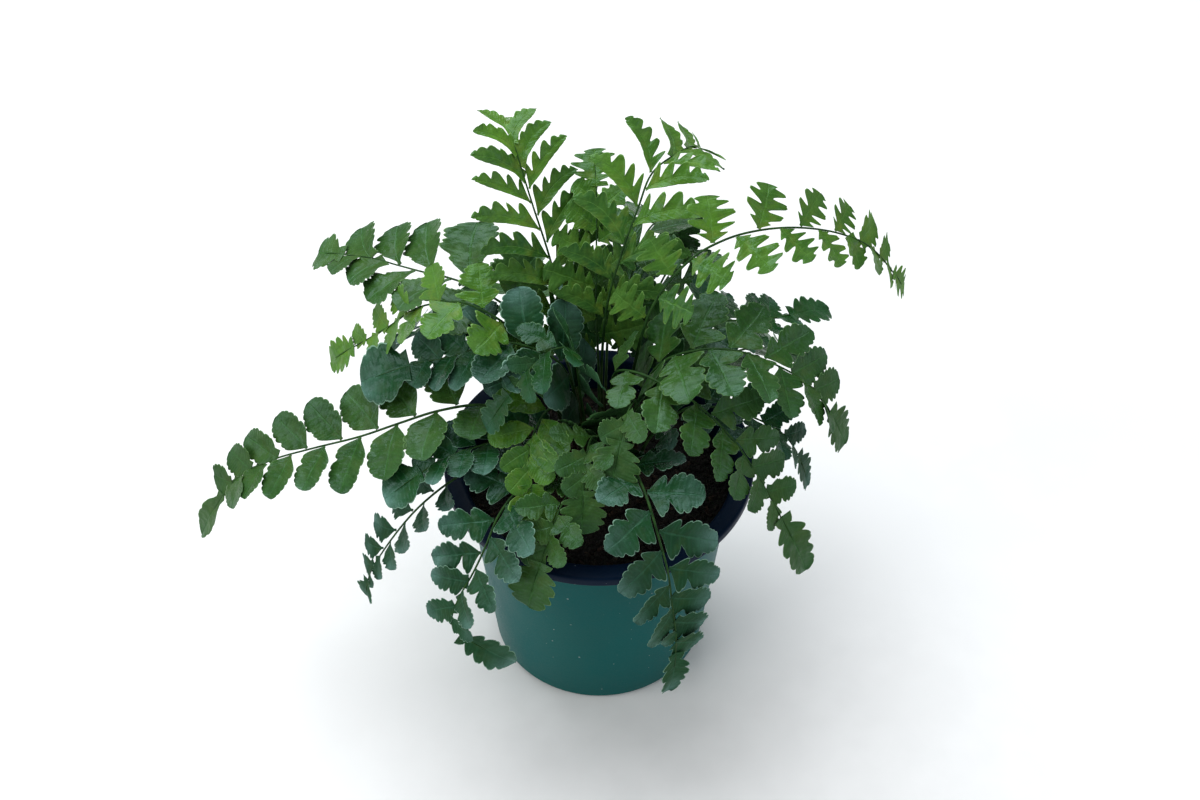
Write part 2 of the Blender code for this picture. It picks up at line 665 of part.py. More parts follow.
def stalk_tree(frond, stalk):
    """A search tree of a frond's bare stalk."""
    places = [place for place, _ in leaflet_sizes(frond, stalk)]
    points = []
    faces = []
    stalk_mesh(stalk, places, [0] * len(places), points, faces)
    return tree_of(points, faces)


def pick_leaflets(frond, stalk, obstacles, own_stalk):
    """Choose for every leaflet the first turn and size that is clear of everything placed before it."""
    sizes = leaflet_sizes(frond, stalk)
    placed = []
    chosen = []
    for number, (place, length) in enumerate(sizes):
        following = sizes[number + 1][0] if number + 1 < len(sizes) else stalk.length
        spacing = following - place if number + 1 < len(sizes) else place - sizes[number - 1][0]
        for choice in CHOICES:
            leaflet = place_leaflet(frond, stalk, number, place, length, spacing, choice)
            tree = tree_of(*leaflet.shell(True))
            if any(tree.overlap(other) for other in obstacles + placed):
                continue
            if tree_of(*leaflet.shell(False)).overlap(own_stalk):
                continue
            placed.append(tree)
            chosen.append((place, hand_of(number), leaflet))
            break
    return chosen, placed


def build_frond(frond, stalk, chosen, material):
    """One frond: its stalk, the chosen leaflets and the end leaflet, as one closed mesh."""
    points = []
    faces = []
    places = [place for place, _, _ in chosen]
    hands = [hand for _, hand, _ in chosen]
    roots, end = stalk_mesh(stalk, places, hands, points, faces)
    for (_, _, leaflet), (top_root, low_root) in zip(chosen, roots):
        blade_mesh(leaflet, top_root, low_root, points, faces)
    blade_mesh(end_leaflet(frond, stalk), (end, end + 1), (end + 2, end + 2), points, faces)
    return add_object(frond.name, points, faces, material)


def build_fronds(holders):
    """Every frond, each clear of the holders, of all stalks and ends, and of the leaflets placed before."""
    materials = {name: make_material(f"frond_{name}", colour, 0.45) for name, colour in COLOURS.items()}
    stalks = [Stalk(frond) for frond in FRONDS]
    stalk_trees = [stalk_tree(frond, stalk) for frond, stalk in zip(FRONDS, stalks)]
    end_trees = [tree_of(*end_leaflet(frond, stalk).shell(True)) for frond, stalk in zip(FRONDS, stalks)]
    placed = [object_tree(item) for item in holders] + end_trees
    for number, (frond, stalk) in enumerate(zip(FRONDS, stalks)):
        obstacles = placed + stalk_trees[:number] + stalk_trees[number + 1:]
        chosen, trees = pick_leaflets(frond, stalk, obstacles, stalk_trees[number])
        placed += trees
        build_frond(frond, stalk, chosen, materials[frond.colour])


def main():
    """Build every piece of the potted fern."""
    clear_scene()
    holders = [build_pot(), build_soil(), build_crown()]
    build_fronds(holders)


main()
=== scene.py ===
# %% [markdown]
# # A potted spleenwort fern
#
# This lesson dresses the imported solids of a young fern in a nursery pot. They are coarse, because they
# only carry weight and collisions. Each gets a finer piece here that keeps its place and form. All shapes
# and finishes come from rules and named sizes.

import json
import random
from collections import namedtuple
from math import cos, exp, hypot, pi, radians, sin, sqrt, tau

import bmesh
import bpy
from mathutils import Matrix, Vector, kdtree, noise

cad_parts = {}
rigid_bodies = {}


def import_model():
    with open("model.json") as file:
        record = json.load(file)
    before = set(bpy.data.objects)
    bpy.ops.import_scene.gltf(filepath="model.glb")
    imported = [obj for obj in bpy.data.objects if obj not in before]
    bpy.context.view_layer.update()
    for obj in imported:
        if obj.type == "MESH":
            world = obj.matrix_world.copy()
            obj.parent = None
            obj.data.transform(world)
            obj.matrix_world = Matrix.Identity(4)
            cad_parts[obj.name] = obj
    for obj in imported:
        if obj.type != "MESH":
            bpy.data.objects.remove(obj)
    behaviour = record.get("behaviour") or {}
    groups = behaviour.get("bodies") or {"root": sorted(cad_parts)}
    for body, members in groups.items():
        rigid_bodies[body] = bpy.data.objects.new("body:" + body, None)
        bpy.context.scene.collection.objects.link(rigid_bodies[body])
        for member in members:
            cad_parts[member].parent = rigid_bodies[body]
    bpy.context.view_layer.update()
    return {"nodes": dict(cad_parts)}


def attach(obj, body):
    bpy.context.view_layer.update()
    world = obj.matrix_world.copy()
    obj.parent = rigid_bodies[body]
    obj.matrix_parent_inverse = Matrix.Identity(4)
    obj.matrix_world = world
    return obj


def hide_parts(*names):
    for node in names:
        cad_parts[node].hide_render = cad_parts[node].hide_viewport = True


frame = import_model()
MM = 0.001
UP = Vector((0, 0, 1))
print("solids:", len(frame["nodes"]))

# %% [markdown]
# ## Camera and light
#
# The viewing angle comes first, because every later choice is judged through it. The rim's ellipse gives
# the tilt: a circle seen from 45 degrees above is about 0.7 as high as it is wide. How much the far side
# shrinks gives the distance, and with it the lens. The light is soft daylight. A wide area light overhead
# gives the leaves their pale sheen, and two weaker ones at the sides and a pale world fill the rest.

# %% Place the camera and the lights
CAMERA_TARGET = Vector((0.4, 0.0, 141.8)) * MM
CAMERA_DISTANCE = 550 * MM
CAMERA_TILT = radians(45.3)
CAMERA_LENS = 41.0
AreaLight = namedtuple("AreaLight", "name place size power colour")
LIGHTS = (
    AreaLight("light_overhead", (-0.30, 0.70, 1.50), 1.60, 30.0, (0.95, 0.98, 1.0)),
    AreaLight("light_left", (-1.10, -0.50, 0.80), 0.80, 7.0, (1.0, 0.98, 0.94)),
    AreaLight("light_right", (1.10, -0.50, 0.70), 0.80, 3.0, (0.95, 0.98, 1.0)),
)
WORLD = {"Color": (0.93, 0.96, 1.0, 1.0), "Strength": 0.35}


def add_item(name, data):
    """Put a new object into the scene."""
    item = bpy.data.objects.new(name, data)
    bpy.context.scene.collection.objects.link(item)
    return item


def aim(item, place):
    """Put a camera or a light in its place and turn it towards the plant."""
    item.location = place
    item.rotation_mode = "QUATERNION"
    item.rotation_quaternion = (CAMERA_TARGET - item.location).to_track_quat("-Z", "Y")


camera = add_item("camera", bpy.data.cameras.new("camera"))
camera.data.lens = CAMERA_LENS
aim(camera, CAMERA_TARGET + CAMERA_DISTANCE * Vector((0, -cos(CAMERA_TILT), sin(CAMERA_TILT))))
bpy.context.scene.camera = camera

for light in LIGHTS:
    lamp = add_item(light.name, bpy.data.lights.new(light.name, "AREA"))
    lamp.data.size = light.size
    lamp.data.energy = light.power
    lamp.data.color = light.colour
    aim(lamp, light.place)

world = bpy.data.worlds.new("soft_daylight")
world.use_nodes = True
for title, value in WORLD.items():
    world.node_tree.nodes["Background"].inputs[title].default_value = value
bpy.context.scene.world = world
bpy.context.scene.view_settings.view_transform = "Standard"
print("camera at", [round(value, 3) for value in camera.location], "lights:", len(LIGHTS))

# %% [markdown]
# ## Short words for node trees
#
# The finishes and the repeats below are node trees. Writing them node by node is long, so a few helpers
# come first. An input takes a plain value or another node's output, and arithmetic goes into its first
# value's tree.

# %% Helpers for node trees
def give(node, inputs):
    """Give a node's inputs plain values, or links from other nodes."""
    for key, value in inputs.items():
        if isinstance(value, bpy.types.NodeSocket):
            node.id_data.links.new(value, node.inputs[key])
        else:
            node.inputs[key].default_value = value


def add_node(tree, kind, inputs, **settings):
    """The outputs of a new node with its settings and inputs."""
    node = tree.nodes.new(kind)
    for name, value in settings.items():
        setattr(node, name, value)
    give(node, inputs)
    return node.outputs


def calculate(operation, first, second=0.0):
    """One step of arithmetic."""
    return add_node(first.id_data, "ShaderNodeMath", {0: first, 1: second}, operation=operation)[0]


def times(first, second):
    """One value times another."""
    return calculate("MULTIPLY", first, second)


def fade(value, low, high, start=0.0, end=1.0):
    """Ease from start to end while the value goes from low to high."""
    limits = {0: value, 1: low, 2: high, 3: start, 4: end}
    return add_node(value.id_data, "ShaderNodeMapRange", limits, interpolation_type="SMOOTHSTEP")[0]


def mix_colours(share, first, second):
    """Mix two colours by a share."""
    inputs = {0: share}
    for key, colour in ((6, first), (7, second)):
        inputs[key] = colour if isinstance(colour, bpy.types.NodeSocket) else (*colour, 1.0)
    return add_node(share.id_data, "ShaderNodeMix", inputs, data_type="RGBA")[2]


def new_group(name, kind, inputs, outputs):
    """A node group with named sockets, what it is given, and the node that closes it."""
    tree = bpy.data.node_groups.new(name, kind)
    for direction, sockets in (("INPUT", inputs), ("OUTPUT", outputs)):
        for title, socket in sockets.items():
            tree.interface.new_socket(title, in_out=direction, socket_type="NodeSocket" + socket)
    return tree, tree.nodes.new("NodeGroupInput").outputs, tree.nodes.new("NodeGroupOutput")


print("helpers ready")

# %% [markdown]
# ## Shared finish effects
#
# **Mottle** is a patchy mask from soft noise: it varies leaf colour, the plastic's gloss and the soil.
# **Leaf veins** draws veins that leave the midrib, fork and end in the teeth of the edge. The leaflet's
# own map makes that easy: it runs from root to tip, and from one edge to the other.

# %% Node group: mottle
MOTTLE_INPUTS = ("Scale", "Detail", "Low", "High")

mottle, given, closing = new_group(
    "mottle", "ShaderNodeTree", {title: "Float" for title in MOTTLE_INPUTS}, {"Mask": "Float"})
place = add_node(mottle, "ShaderNodeTexCoord", {})["Object"]
cloud = {"Vector": place, "Scale": given["Scale"], "Detail": given["Detail"]}
cloud = add_node(mottle, "ShaderNodeTexNoise", cloud)[0]
give(closing, {"Mask": fade(cloud, given["Low"], given["High"])})


def mottled(tree, *values):
    """A patchy mask from its scale, its detail, and the low and high end of the noise."""
    return add_node(tree, "ShaderNodeGroup", dict(zip(MOTTLE_INPUTS, values)), node_tree=mottle)[0]


print("group:", mottle.name)

# %% Node group: leaf veins
TEETH = 9
VEIN_HALF_WIDTH = 0.22
FORKS_START = (0.42, 0.58)
VEINS_STOP = (0.86, 0.97)
MIDRIB_WIDTH = (0.02, 0.09)
EDGE_BAND = (0.935, 0.975)

leaf_veins, given, closing = new_group(
    "leaf_veins", "ShaderNodeTree", {"Map": "Vector", "Count": "Float"},
    {"Veins": "Float", "Midrib": "Float", "Edge": "Float"})
leaf_map = add_node(leaf_veins, "ShaderNodeSeparateXYZ", {0: given["Map"]})
outwards = calculate("ABSOLUTE", calculate("SUBTRACT", times(leaf_map["Y"], 2.0), 1.0))
counted = times(leaf_map["X"], given["Count"])


def vein_lines(position):
    """A line wherever the position passes the middle between two whole numbers."""
    offset = calculate("SUBTRACT", calculate("FRACT", position), 0.5)
    return fade(calculate("ABSOLUTE", offset), 0.0, VEIN_HALF_WIDTH, 1.0, 0.0)


forks = times(vein_lines(calculate("ADD", counted, 0.5)), fade(outwards, *FORKS_START))
veins = times(calculate("MAXIMUM", vein_lines(counted), forks), fade(outwards, *VEINS_STOP, 1.0, 0.0))
midrib = fade(outwards, *MIDRIB_WIDTH, 1.0, 0.0)
give(closing, {"Veins": veins, "Midrib": midrib, "Edge": fade(outwards, *EDGE_BAND)})
print("group:", leaf_veins.name)

# %% [markdown]
# ## Leaf finishes
#
# A leaflet is satin, not flat green. Fresh fronds are yellow-green and older ones dark. Their outer halves
# carry a painted bluish sheen, a highlight laid into their colour, and the part near the stalk turns olive.
# A leaflet has a thin pale edge, sunken veins, a duller underside and a skin that swells between the
# veins, which breaks up the shine. One function makes all four finishes. It reads three values of each
# leaflet: its own tint, whether the face is underneath, and how open it lies to the sky, since hanging
# leaflets are duller.

# %% Make the leaf finishes
# Each finish also holds a painted sheen: a pale bluish highlight colour, and how strongly it is mixed into
# the outer half of a leaflet.
LeafFinish = namedtuple("LeafFinish", "deep fresh warm vein edge bloom under bloom_share")
LEAF_FINISHES = {
    "leaf_light": LeafFinish(
        (0.016, 0.080, 0.008), (0.120, 0.285, 0.020), (0.150, 0.230, 0.020), (0.110, 0.270, 0.040),
        (0.200, 0.370, 0.090), (0.130, 0.310, 0.110), (0.060, 0.170, 0.030), 0.20),
    "leaf_mid": LeafFinish(
        (0.012, 0.056, 0.007), (0.060, 0.140, 0.026), (0.055, 0.100, 0.012), (0.045, 0.150, 0.030),
        (0.130, 0.250, 0.085), (0.070, 0.190, 0.105), (0.030, 0.100, 0.022), 0.40),
    "leaf_dark": LeafFinish(
        (0.005, 0.036, 0.005), (0.015, 0.080, 0.012), (0.030, 0.060, 0.008), (0.028, 0.105, 0.030),
        (0.130, 0.260, 0.125), (0.055, 0.165, 0.125), (0.020, 0.075, 0.025), 0.55),
    "leaf_blue": LeafFinish(
        (0.004, 0.034, 0.009), (0.013, 0.076, 0.018), (0.026, 0.066, 0.010), (0.035, 0.130, 0.065),
        (0.230, 0.400, 0.290), (0.150, 0.300, 0.265), (0.022, 0.080, 0.038), 0.80),
}
# Noise masks: patches, stains, pores and swells, as mottled takes them.
LEAF_NOISE = ((85.0, 3.0, 0.34, 0.66), (210.0, 4.0, 0.42, 0.70), (1500.0, 2.0, 0.30, 0.70),
              (200.0, 1.0, 0.20, 0.80))
OLIVE_FADE = (0.15, 0.75, 0.75, 0.15)
# The painted bluish highlight starts here along the leaflet and is full here, from root to tip.
PAINTED_SHEEN_FADE = (0.42, 0.95)
HANGING_FADE = (0.15, 0.80, 1.0, 0.0)
# Layers of colour from the lowest up: the mask, how strongly it shows, and the colour.
LEAF_LAYERS = (
    ("olive", 1.0, "warm"), ("bloom", 1.0, "bloom"), ("pores", 0.22, "deep"), ("swells", 0.35, "deep"),
    ("veins", 0.16, "vein"), ("midrib", 0.40, "vein"), ("edge", 0.75, "edge"), ("under", 0.85, "under"),
)
LEAF_ROUGHNESS = (0.24, 0.42)
DULL_ROUGHNESS = 0.80
LEAF_SHINE = {"Specular IOR Level": 0.26, "Specular Tint": (0.66, 0.92, 1.0, 1.0)}
PATCH_YOUTH, OWN_YOUTH = 0.30, 0.75
# How much of the painted highlight shows outside the noise patches.
PAINTED_SHEEN_EVEN = 0.2
VEIN_SUNK, PORE_RAISED = 0.35, 0.25
# A relief is its strength and its height.
VEIN_RELIEF, SWELL_RELIEF = (0.80, 0.0002), (0.85, 0.0007)
finishes = {}


def new_finish(name):
    """The tree and the Principled shader of a new material, which is kept under its name."""
    finishes[name] = material = bpy.data.materials.new(name)
    material.use_nodes = True
    return material.node_tree, material.node_tree.nodes["Principled BSDF"]


def carried(tree, name):
    """A number that the piece's own mesh carries."""
    return add_node(tree, "ShaderNodeAttribute", {}, attribute_name=name)["Fac"]


def relief(height, strength, distance, **others):
    """Skin raised by a mask."""
    inputs = {"Height": height, "Strength": strength, "Distance": distance, **others}
    return add_node(height.id_data, "ShaderNodeBump", inputs)[0]


def leaf_finish(name, colours):
    """Satin leaf tissue with veins, a pale edge, a painted bluish sheen and a duller underside."""
    tree, shader = new_finish(name)
    leaf_map = add_node(tree, "ShaderNodeUVMap", {}, uv_map="leaf_map")[0]
    towards_tip = add_node(tree, "ShaderNodeSeparateXYZ", {0: leaf_map})[0]
    lines = add_node(tree, "ShaderNodeGroup", {"Map": leaf_map, "Count": TEETH}, node_tree=leaf_veins)
    veins, midrib, edge = lines["Veins"], lines["Midrib"], lines["Edge"]
    patches, stains, pores, swells = [mottled(tree, *values) for values in LEAF_NOISE]
    tint, under, sky = [carried(tree, value) for value in ("tint", "under", "sky")]
    # A painted highlight: a pale bluish sheen laid into the colour of the outer half, in patches.
    painted_sheen_reach = times(fade(towards_tip, *PAINTED_SHEEN_FADE), colours.bloom_share)
    masks = {"olive": times(fade(towards_tip, *OLIVE_FADE), stains),
             "bloom": times(painted_sheen_reach, calculate("ADD", times(patches, 1 - PAINTED_SHEEN_EVEN), PAINTED_SHEEN_EVEN)),
             "pores": pores, "swells": swells, "veins": veins, "midrib": midrib, "edge": edge,
             "under": under}
    youth = calculate("ADD", times(patches, PATCH_YOUTH), times(tint, OWN_YOUTH))
    colour = mix_colours(youth, colours.deep, colours.fresh)
    for mask, share, layer in LEAF_LAYERS:
        colour = mix_colours(times(masks[mask], share), colour, getattr(colours, layer))

    dull = calculate("MAXIMUM", under, fade(sky, *HANGING_FADE))
    gloss = {0: dull, 2: fade(stains, 0.0, 1.0, *LEAF_ROUGHNESS), 3: DULL_ROUGHNESS}
    grooves = calculate("MAXIMUM", times(veins, VEIN_SUNK), midrib)
    bumps = relief(calculate("SUBTRACT", times(pores, PORE_RAISED), grooves), *VEIN_RELIEF,
                   Normal=relief(swells, *SWELL_RELIEF))
    give(shader, {"Base Color": colour, "Roughness": add_node(tree, "ShaderNodeMix", gloss)[0],
                  "Normal": bumps, **LEAF_SHINE})


for name, colours in LEAF_FINISHES.items():
    leaf_finish(name, colours)
print("leaf finishes:", list(finishes))

# %% [markdown]
# ## Stalk, scale, soil and pot finishes
#
# A stalk is dark brown at the crown and turns green as it climbs, so its colour follows a value that runs
# from foot to tip. The crown and the scales on it are papery brown. Moist potting mix is almost black,
# with warmer crumbs and chips of bark. The pot is satin plastic: dark teal outside, near-black navy on its
# lip and inside. Fine noise in the roughness keeps it from looking like paint.

# %% Make the other finishes
STALK_BROWNS = (0.012, 0.008, 0.004), (0.045, 0.026, 0.012)
STALK_GREENS = (0.012, 0.045, 0.010), (0.030, 0.085, 0.018)
TURNING_GREEN = (0.05, 0.34)
DUST = (0.50, 0.55, 0.55)
# Noise masks, as mottled takes them. A rough finish has a scale of its own, and a grain that is finer.
STALK_NOISE = (260.0, 3.0, 0.3, 0.7)
PLASTIC_NOISE = ((22.0, 5.0, 0.35, 0.70), (1400.0, 2.0, 0.30, 0.70), (700.0, 0.0, 0.84, 0.88))
ROUGH_PATCHES, ROUGH_GRAIN, GRAIN_FINER = (4.0, 0.36, 0.66), (4.0, 0.25, 0.75), 9.0
STALK_ROUGHNESS, STALK_RELIEF, STALK_SHINE = (0.40, 0.55), (0.4, 0.0002), 0.10
PLASTIC_RELIEF, PLASTIC_SHINE = (0.15, 0.0001), 0.07
WORN_SHARE, DUST_SHARE, GRAIN_GLOSS, LEAST_GRAIN = 0.5, 0.6, 0.06, 0.25
# Rough finishes: dark and light colour, scale, ends of the roughness, strength and distance of the relief.
ROUGH_FINISHES = {
    "scale_brown": ((0.016, 0.009, 0.004), (0.090, 0.048, 0.020), 300.0, (0.55, 0.85), 0.5, 0.0002),
    "crown_brown": ((0.010, 0.006, 0.003), (0.045, 0.026, 0.012), 260.0, (0.75, 0.95), 0.8, 0.0006),
    "soil_dark": ((0.0020, 0.0016, 0.0014), (0.012, 0.008, 0.005), 190.0, (0.80, 1.0), 1.0, 0.0010),
    "soil_crumb": ((0.0025, 0.0018, 0.0015), (0.022, 0.013, 0.008), 240.0, (0.78, 1.0), 0.9, 0.0005),
    "bark_chip": ((0.010, 0.005, 0.003), (0.075, 0.034, 0.017), 220.0, (0.70, 0.95), 0.9, 0.0005),
    "floor_pale": ((0.90, 0.90, 0.90), (0.94, 0.94, 0.94), 6.0, (0.7, 0.8), 0.02, 0.0002),
}
# Plastic finishes: the colour, the colour of its worn patches, and the ends of the roughness.
PLASTIC_FINISHES = {
    "pot_teal": ((0.002, 0.091, 0.085), (0.004, 0.108, 0.106), (0.36, 0.46)),
    "pot_navy": ((0.001, 0.009, 0.028), (0.004, 0.016, 0.042), (0.38, 0.50)),
}


def stalk_finish(name):
    """Brown at the foot, green above, with a fine unevenness."""
    tree, shader = new_finish(name)
    patches = mottled(tree, *STALK_NOISE)
    brown, green = [mix_colours(patches, *pair) for pair in (STALK_BROWNS, STALK_GREENS)]
    colour = mix_colours(fade(carried(tree, "climb"), *TURNING_GREEN), brown, green)
    give(shader, {"Base Color": colour, "Roughness": fade(patches, 0.0, 1.0, *STALK_ROUGHNESS),
                  "Normal": relief(patches, *STALK_RELIEF), "Specular IOR Level": STALK_SHINE})


def rough_finish(name, dark, light, scale, roughness, strength, distance):
    """Two colours in patches, with a fine grain."""
    tree, shader = new_finish(name)
    patches = mottled(tree, scale, *ROUGH_PATCHES)
    grain = mottled(tree, scale * GRAIN_FINER, *ROUGH_GRAIN)
    colour = mix_colours(times(patches, calculate("ADD", grain, LEAST_GRAIN)), dark, light)
    give(shader, {"Base Color": colour, "Roughness": fade(grain, 0.0, 1.0, *roughness),
                  "Normal": relief(grain, strength, distance)})


def plastic_finish(name, colour, worn, roughness):
    """Satin moulded plastic with faint patches, a fine grain and a few pale specks of dust."""
    tree, shader = new_finish(name)
    patches, grain, specks = [mottled(tree, *values) for values in PLASTIC_NOISE]
    worn = mix_colours(times(patches, WORN_SHARE), colour, worn)
    gloss = calculate("ADD", fade(patches, 0.0, 1.0, *roughness), times(grain, GRAIN_GLOSS))
    give(shader, {"Base Color": mix_colours(times(specks, DUST_SHARE), worn, DUST), "Roughness": gloss,
                  "Normal": relief(grain, *PLASTIC_RELIEF), "Specular IOR Level": PLASTIC_SHINE})


stalk_finish("stalk_green")
for make, table in ((rough_finish, ROUGH_FINISHES), (plastic_finish, PLASTIC_FINISHES)):
    for name, values in table.items():
        make(name, *values)
print("finishes:", len(finishes))

# %% [markdown]
# ## The floor and the pot
#
# A nursery pot is pressed as one thin shell, so it is round everywhere, and a profile turned about the
# axis describes it. The solid has 34 flat sides, which would show at the lip. Here the profile is turned
# in fine steps, with soft corners, a step under the lip and a shallow ring in the floor. Drain holes are
# cut out.

# %% Helpers for meshes, and the floor
FLOOR_CORNERS = ((-3.0, -3.0), (3.0, -3.0), (3.0, 3.0), (-3.0, 3.0))
FLOOR_DROP = 0.0004
MERGE_BELOW = 1e-6


def make_mesh(name, points, faces, unit=MM):
    """A smooth mesh from points, given in millimetres unless another unit is named."""
    mesh = bpy.data.meshes.new(name)
    mesh.from_pydata([Vector(point) * unit for point in points], [], faces)
    mesh.polygons.foreach_set("use_smooth", [True] * len(mesh.polygons))
    return mesh


def settled(mesh, *materials):
    """The mesh with its doubles merged, its faces turned outwards and its materials."""
    shape = bmesh.new()
    shape.from_mesh(mesh)
    bmesh.ops.remove_doubles(shape, verts=shape.verts, dist=MERGE_BELOW)
    bmesh.ops.recalc_face_normals(shape, faces=shape.faces)
    shape.to_mesh(mesh)
    shape.free()
    for name in materials:
        mesh.materials.append(finishes[name])
    return mesh


def mark(mesh, name, values, kind="FLOAT"):
    """Let every point of a mesh carry a value."""
    layer = mesh.attributes.new(name, kind, "POINT").data
    if kind == "FLOAT_VECTOR":
        layer.foreach_set("vector", [number for vector in values for number in vector])
    else:
        layer.foreach_set("value", values)


def circle(radius, steps):
    """Places around a circle, as x and y."""
    turns = [tau * step / steps for step in range(steps)]
    return [(radius * cos(turn), radius * sin(turn)) for turn in turns]


def skin(rings, sides):
    """Faces of a closed tube with so many rings of points and so many sides."""
    faces = []
    for low in range(0, (rings - 1) * sides, sides):
        for side in range(sides):
            following = (side + 1) % sides
            faces.append((low + side, low + following, low + sides + following, low + sides + side))
    return faces + [tuple(reversed(range(sides))), tuple(range((rings - 1) * sides, rings * sides))]


floor_mesh = make_mesh("floor", [(x, y, -FLOOR_DROP) for x, y in FLOOR_CORNERS], [(0, 1, 2, 3)], unit=1.0)
floor_mesh.materials.append(finishes["floor_pale"])
floor = add_item("floor", floor_mesh)
print("floor:", [round(value, 1) for value in floor.dimensions])

# %% Turn the pot
POT_HEIGHT = 109.0
LIP_RADIUS = 65.0
LIP_LOW = POT_HEIGHT - 4.5
WALL_TOP = 57.6
WALL_BASE = 48.6
WALL = 1.3
FLOOR = 2.4
POT_STEPS = 168
CORNER_STEPS = 4
HOLE_COUNT = 6
HOLE_RADIUS = 4.0
HOLE_CIRCLE = 35.0
HOLE_STEPS = 24
OUTSIDE, INSIDE = 0, 1
# Each point of the profile: its radius, its height and how far its corner is rounded.
POT_PROFILE = (
    (0.5, 0.9, 0), (28, 0.9, 0.4), (29, 0, 0.4), (WALL_BASE - 1.4, 0, 0.9), (WALL_BASE, 1.4, 0.9),
    (WALL_TOP - 0.8, LIP_LOW - 1.6, 0.6), (WALL_TOP + 0.6, LIP_LOW - 1.0, 0.4),
    (WALL_TOP + 1.2, LIP_LOW, 0.4), (LIP_RADIUS, LIP_LOW, 0.7), (LIP_RADIUS, POT_HEIGHT, 1.5),
    (WALL_TOP - WALL + 1.6, POT_HEIGHT, 1.2), (WALL_TOP - WALL, POT_HEIGHT - 3.2, 0.8),
    (WALL_BASE - WALL, FLOOR, 1.2), (0.5, FLOOR, 0),
)


def rounded(profile):
    """The profile with its corners rounded, all but the two ends."""
    places = [Vector(point[:2]) for point in profile]
    curve = [profile[0][:2]]
    for before, corner, after, (_, _, soft) in zip(places, places[1:], places[2:], profile[1:]):
        first = corner + (before - corner).normalized() * soft
        last = corner + (after - corner).normalized() * soft
        for step in range(CORNER_STEPS + 1):
            share = step / CORNER_STEPS
            curve.append(first.lerp(corner, share).lerp(corner.lerp(last, share), share))
    return curve + [profile[-1][:2]]


def turned(profile, steps):
    """Points and faces of a profile turned about the upright axis."""
    points = [(x, y, height) for radius, height in profile for x, y in circle(radius, steps)]
    return points, skin(len(profile), steps)


pot_mesh = make_mesh("pot_shell", *turned(rounded(POT_PROFILE), POT_STEPS))
pot = add_item("pot_shell", settled(pot_mesh, "pot_teal", "pot_navy"))
points, faces = [], []
ring, sides = turned([(HOLE_RADIUS, -1.0), (HOLE_RADIUS, FLOOR + 1.0)], HOLE_STEPS)
for hole in range(HOLE_COUNT):
    angle = tau * (hole + 0.5) / HOLE_COUNT
    faces += [tuple(index + len(points) for index in face) for face in sides]
    points += [(x + HOLE_CIRCLE * cos(angle), y + HOLE_CIRCLE * sin(angle), z) for x, y, z in ring]
cutter = add_item("drain_cutter", settled(make_mesh("drain_cutter", points, faces)))
drains = pot.modifiers.new("drains", "BOOLEAN")
drains.operation = "DIFFERENCE"
drains.solver = "EXACT"
drains.object = cutter
pot.data = bpy.data.meshes.new_from_object(pot.evaluated_get(bpy.context.evaluated_depsgraph_get()))
pot.modifiers.clear()
bpy.data.objects.remove(cutter)

for face in pot.data.polygons:
    radius, height = hypot(face.center.x, face.center.y) / MM, face.center.z / MM
    middle_of_wall = WALL_BASE + (WALL_TOP - WALL_BASE) * height / LIP_LOW - 0.5 * WALL
    outside = height < 0.5 * FLOOR or (height < LIP_LOW - 0.8 and radius > middle_of_wall)
    face.material_index = OUTSIDE if outside else INSIDE
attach(pot, "root")
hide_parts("pot")
print("pot faces:", len(pot.data.polygons))

# %% [markdown]
# ## The soil and the crown
#
# Both are a height above a disc. Layers of noise give the soil low mounds, lumps and a settled dip towards
# the wall. It stays level under the crown, so that nothing pokes through. The crown is the short rhizome
# that every frond rises from: a low lumpy dome, which the scales hide later.

# %% Shape the soil
SOIL_TOP = 95.0
SOIL_LOW = FLOOR + 0.3
SOIL_RINGS = 44
SOIL_STEPS = 132
SOIL_LEVEL = 21.0
SOIL_DIP = 0.9
SOIL_MOUNDS = 1.1
SOIL_LUMPS = 0.7
SOIL_GRIT = 0.6
LOOSE_WITHIN = 6.0
MOUND_NOISE, LUMP_NOISE, GRIT_NOISE = (3.0, 0.055), (8.0, 0.24), (5.0, 0.6)
UNDER_TOP = 0.1
WALL_GAP = 0.3
CURVED_LIP = 1.6


def wall_inside(height):
    """The pot's inside radius at a height."""
    share = (height - FLOOR) / (POT_HEIGHT - CURVED_LIP - FLOOR)
    return WALL_BASE - WALL + share * (WALL_TOP - WALL_BASE)


def uneven(x, y, layer, scale):
    """Soft noise at a place, from a layer of its own."""
    return noise.noise(Vector((x, y, layer)) * scale)


def soil_height(x, y):
    """Height of the soil's surface at a place, in millimetres."""
    loose = min(1.0, max(0.0, (hypot(x, y) - SOIL_LEVEL) / LOOSE_WITHIN))
    mounds = uneven(x, y, *MOUND_NOISE) * SOIL_MOUNDS
    lumps = uneven(x, y, *LUMP_NOISE) + SOIL_GRIT * uneven(x, y, *GRIT_NOISE)
    return SOIL_TOP - UNDER_TOP + loose * (mounds + lumps * SOIL_LUMPS - SOIL_DIP)


def mound(name, height, radius, rings, steps, foot_radius, foot):
    """A closed mesh: a height over a disc, and a flat foot under it."""
    points = [(0, 0, height(0, 0))]
    for ring in range(1, rings + 1):
        points += [(x, y, height(x, y)) for x, y in circle(radius * ring / rings, steps)]
    points += [(x, y, foot) for x, y in circle(foot_radius, steps)]
    faces = []
    for step in range(steps):
        following = (step + 1) % steps
        faces.append((0, 1 + step, 1 + following))
        for low in range(1, 1 + rings * steps, steps):
            faces.append((low + step, low + steps + step, low + steps + following, low + following))
    faces.append(tuple(reversed(range(len(points) - steps, len(points)))))
    return make_mesh(name, points, faces)


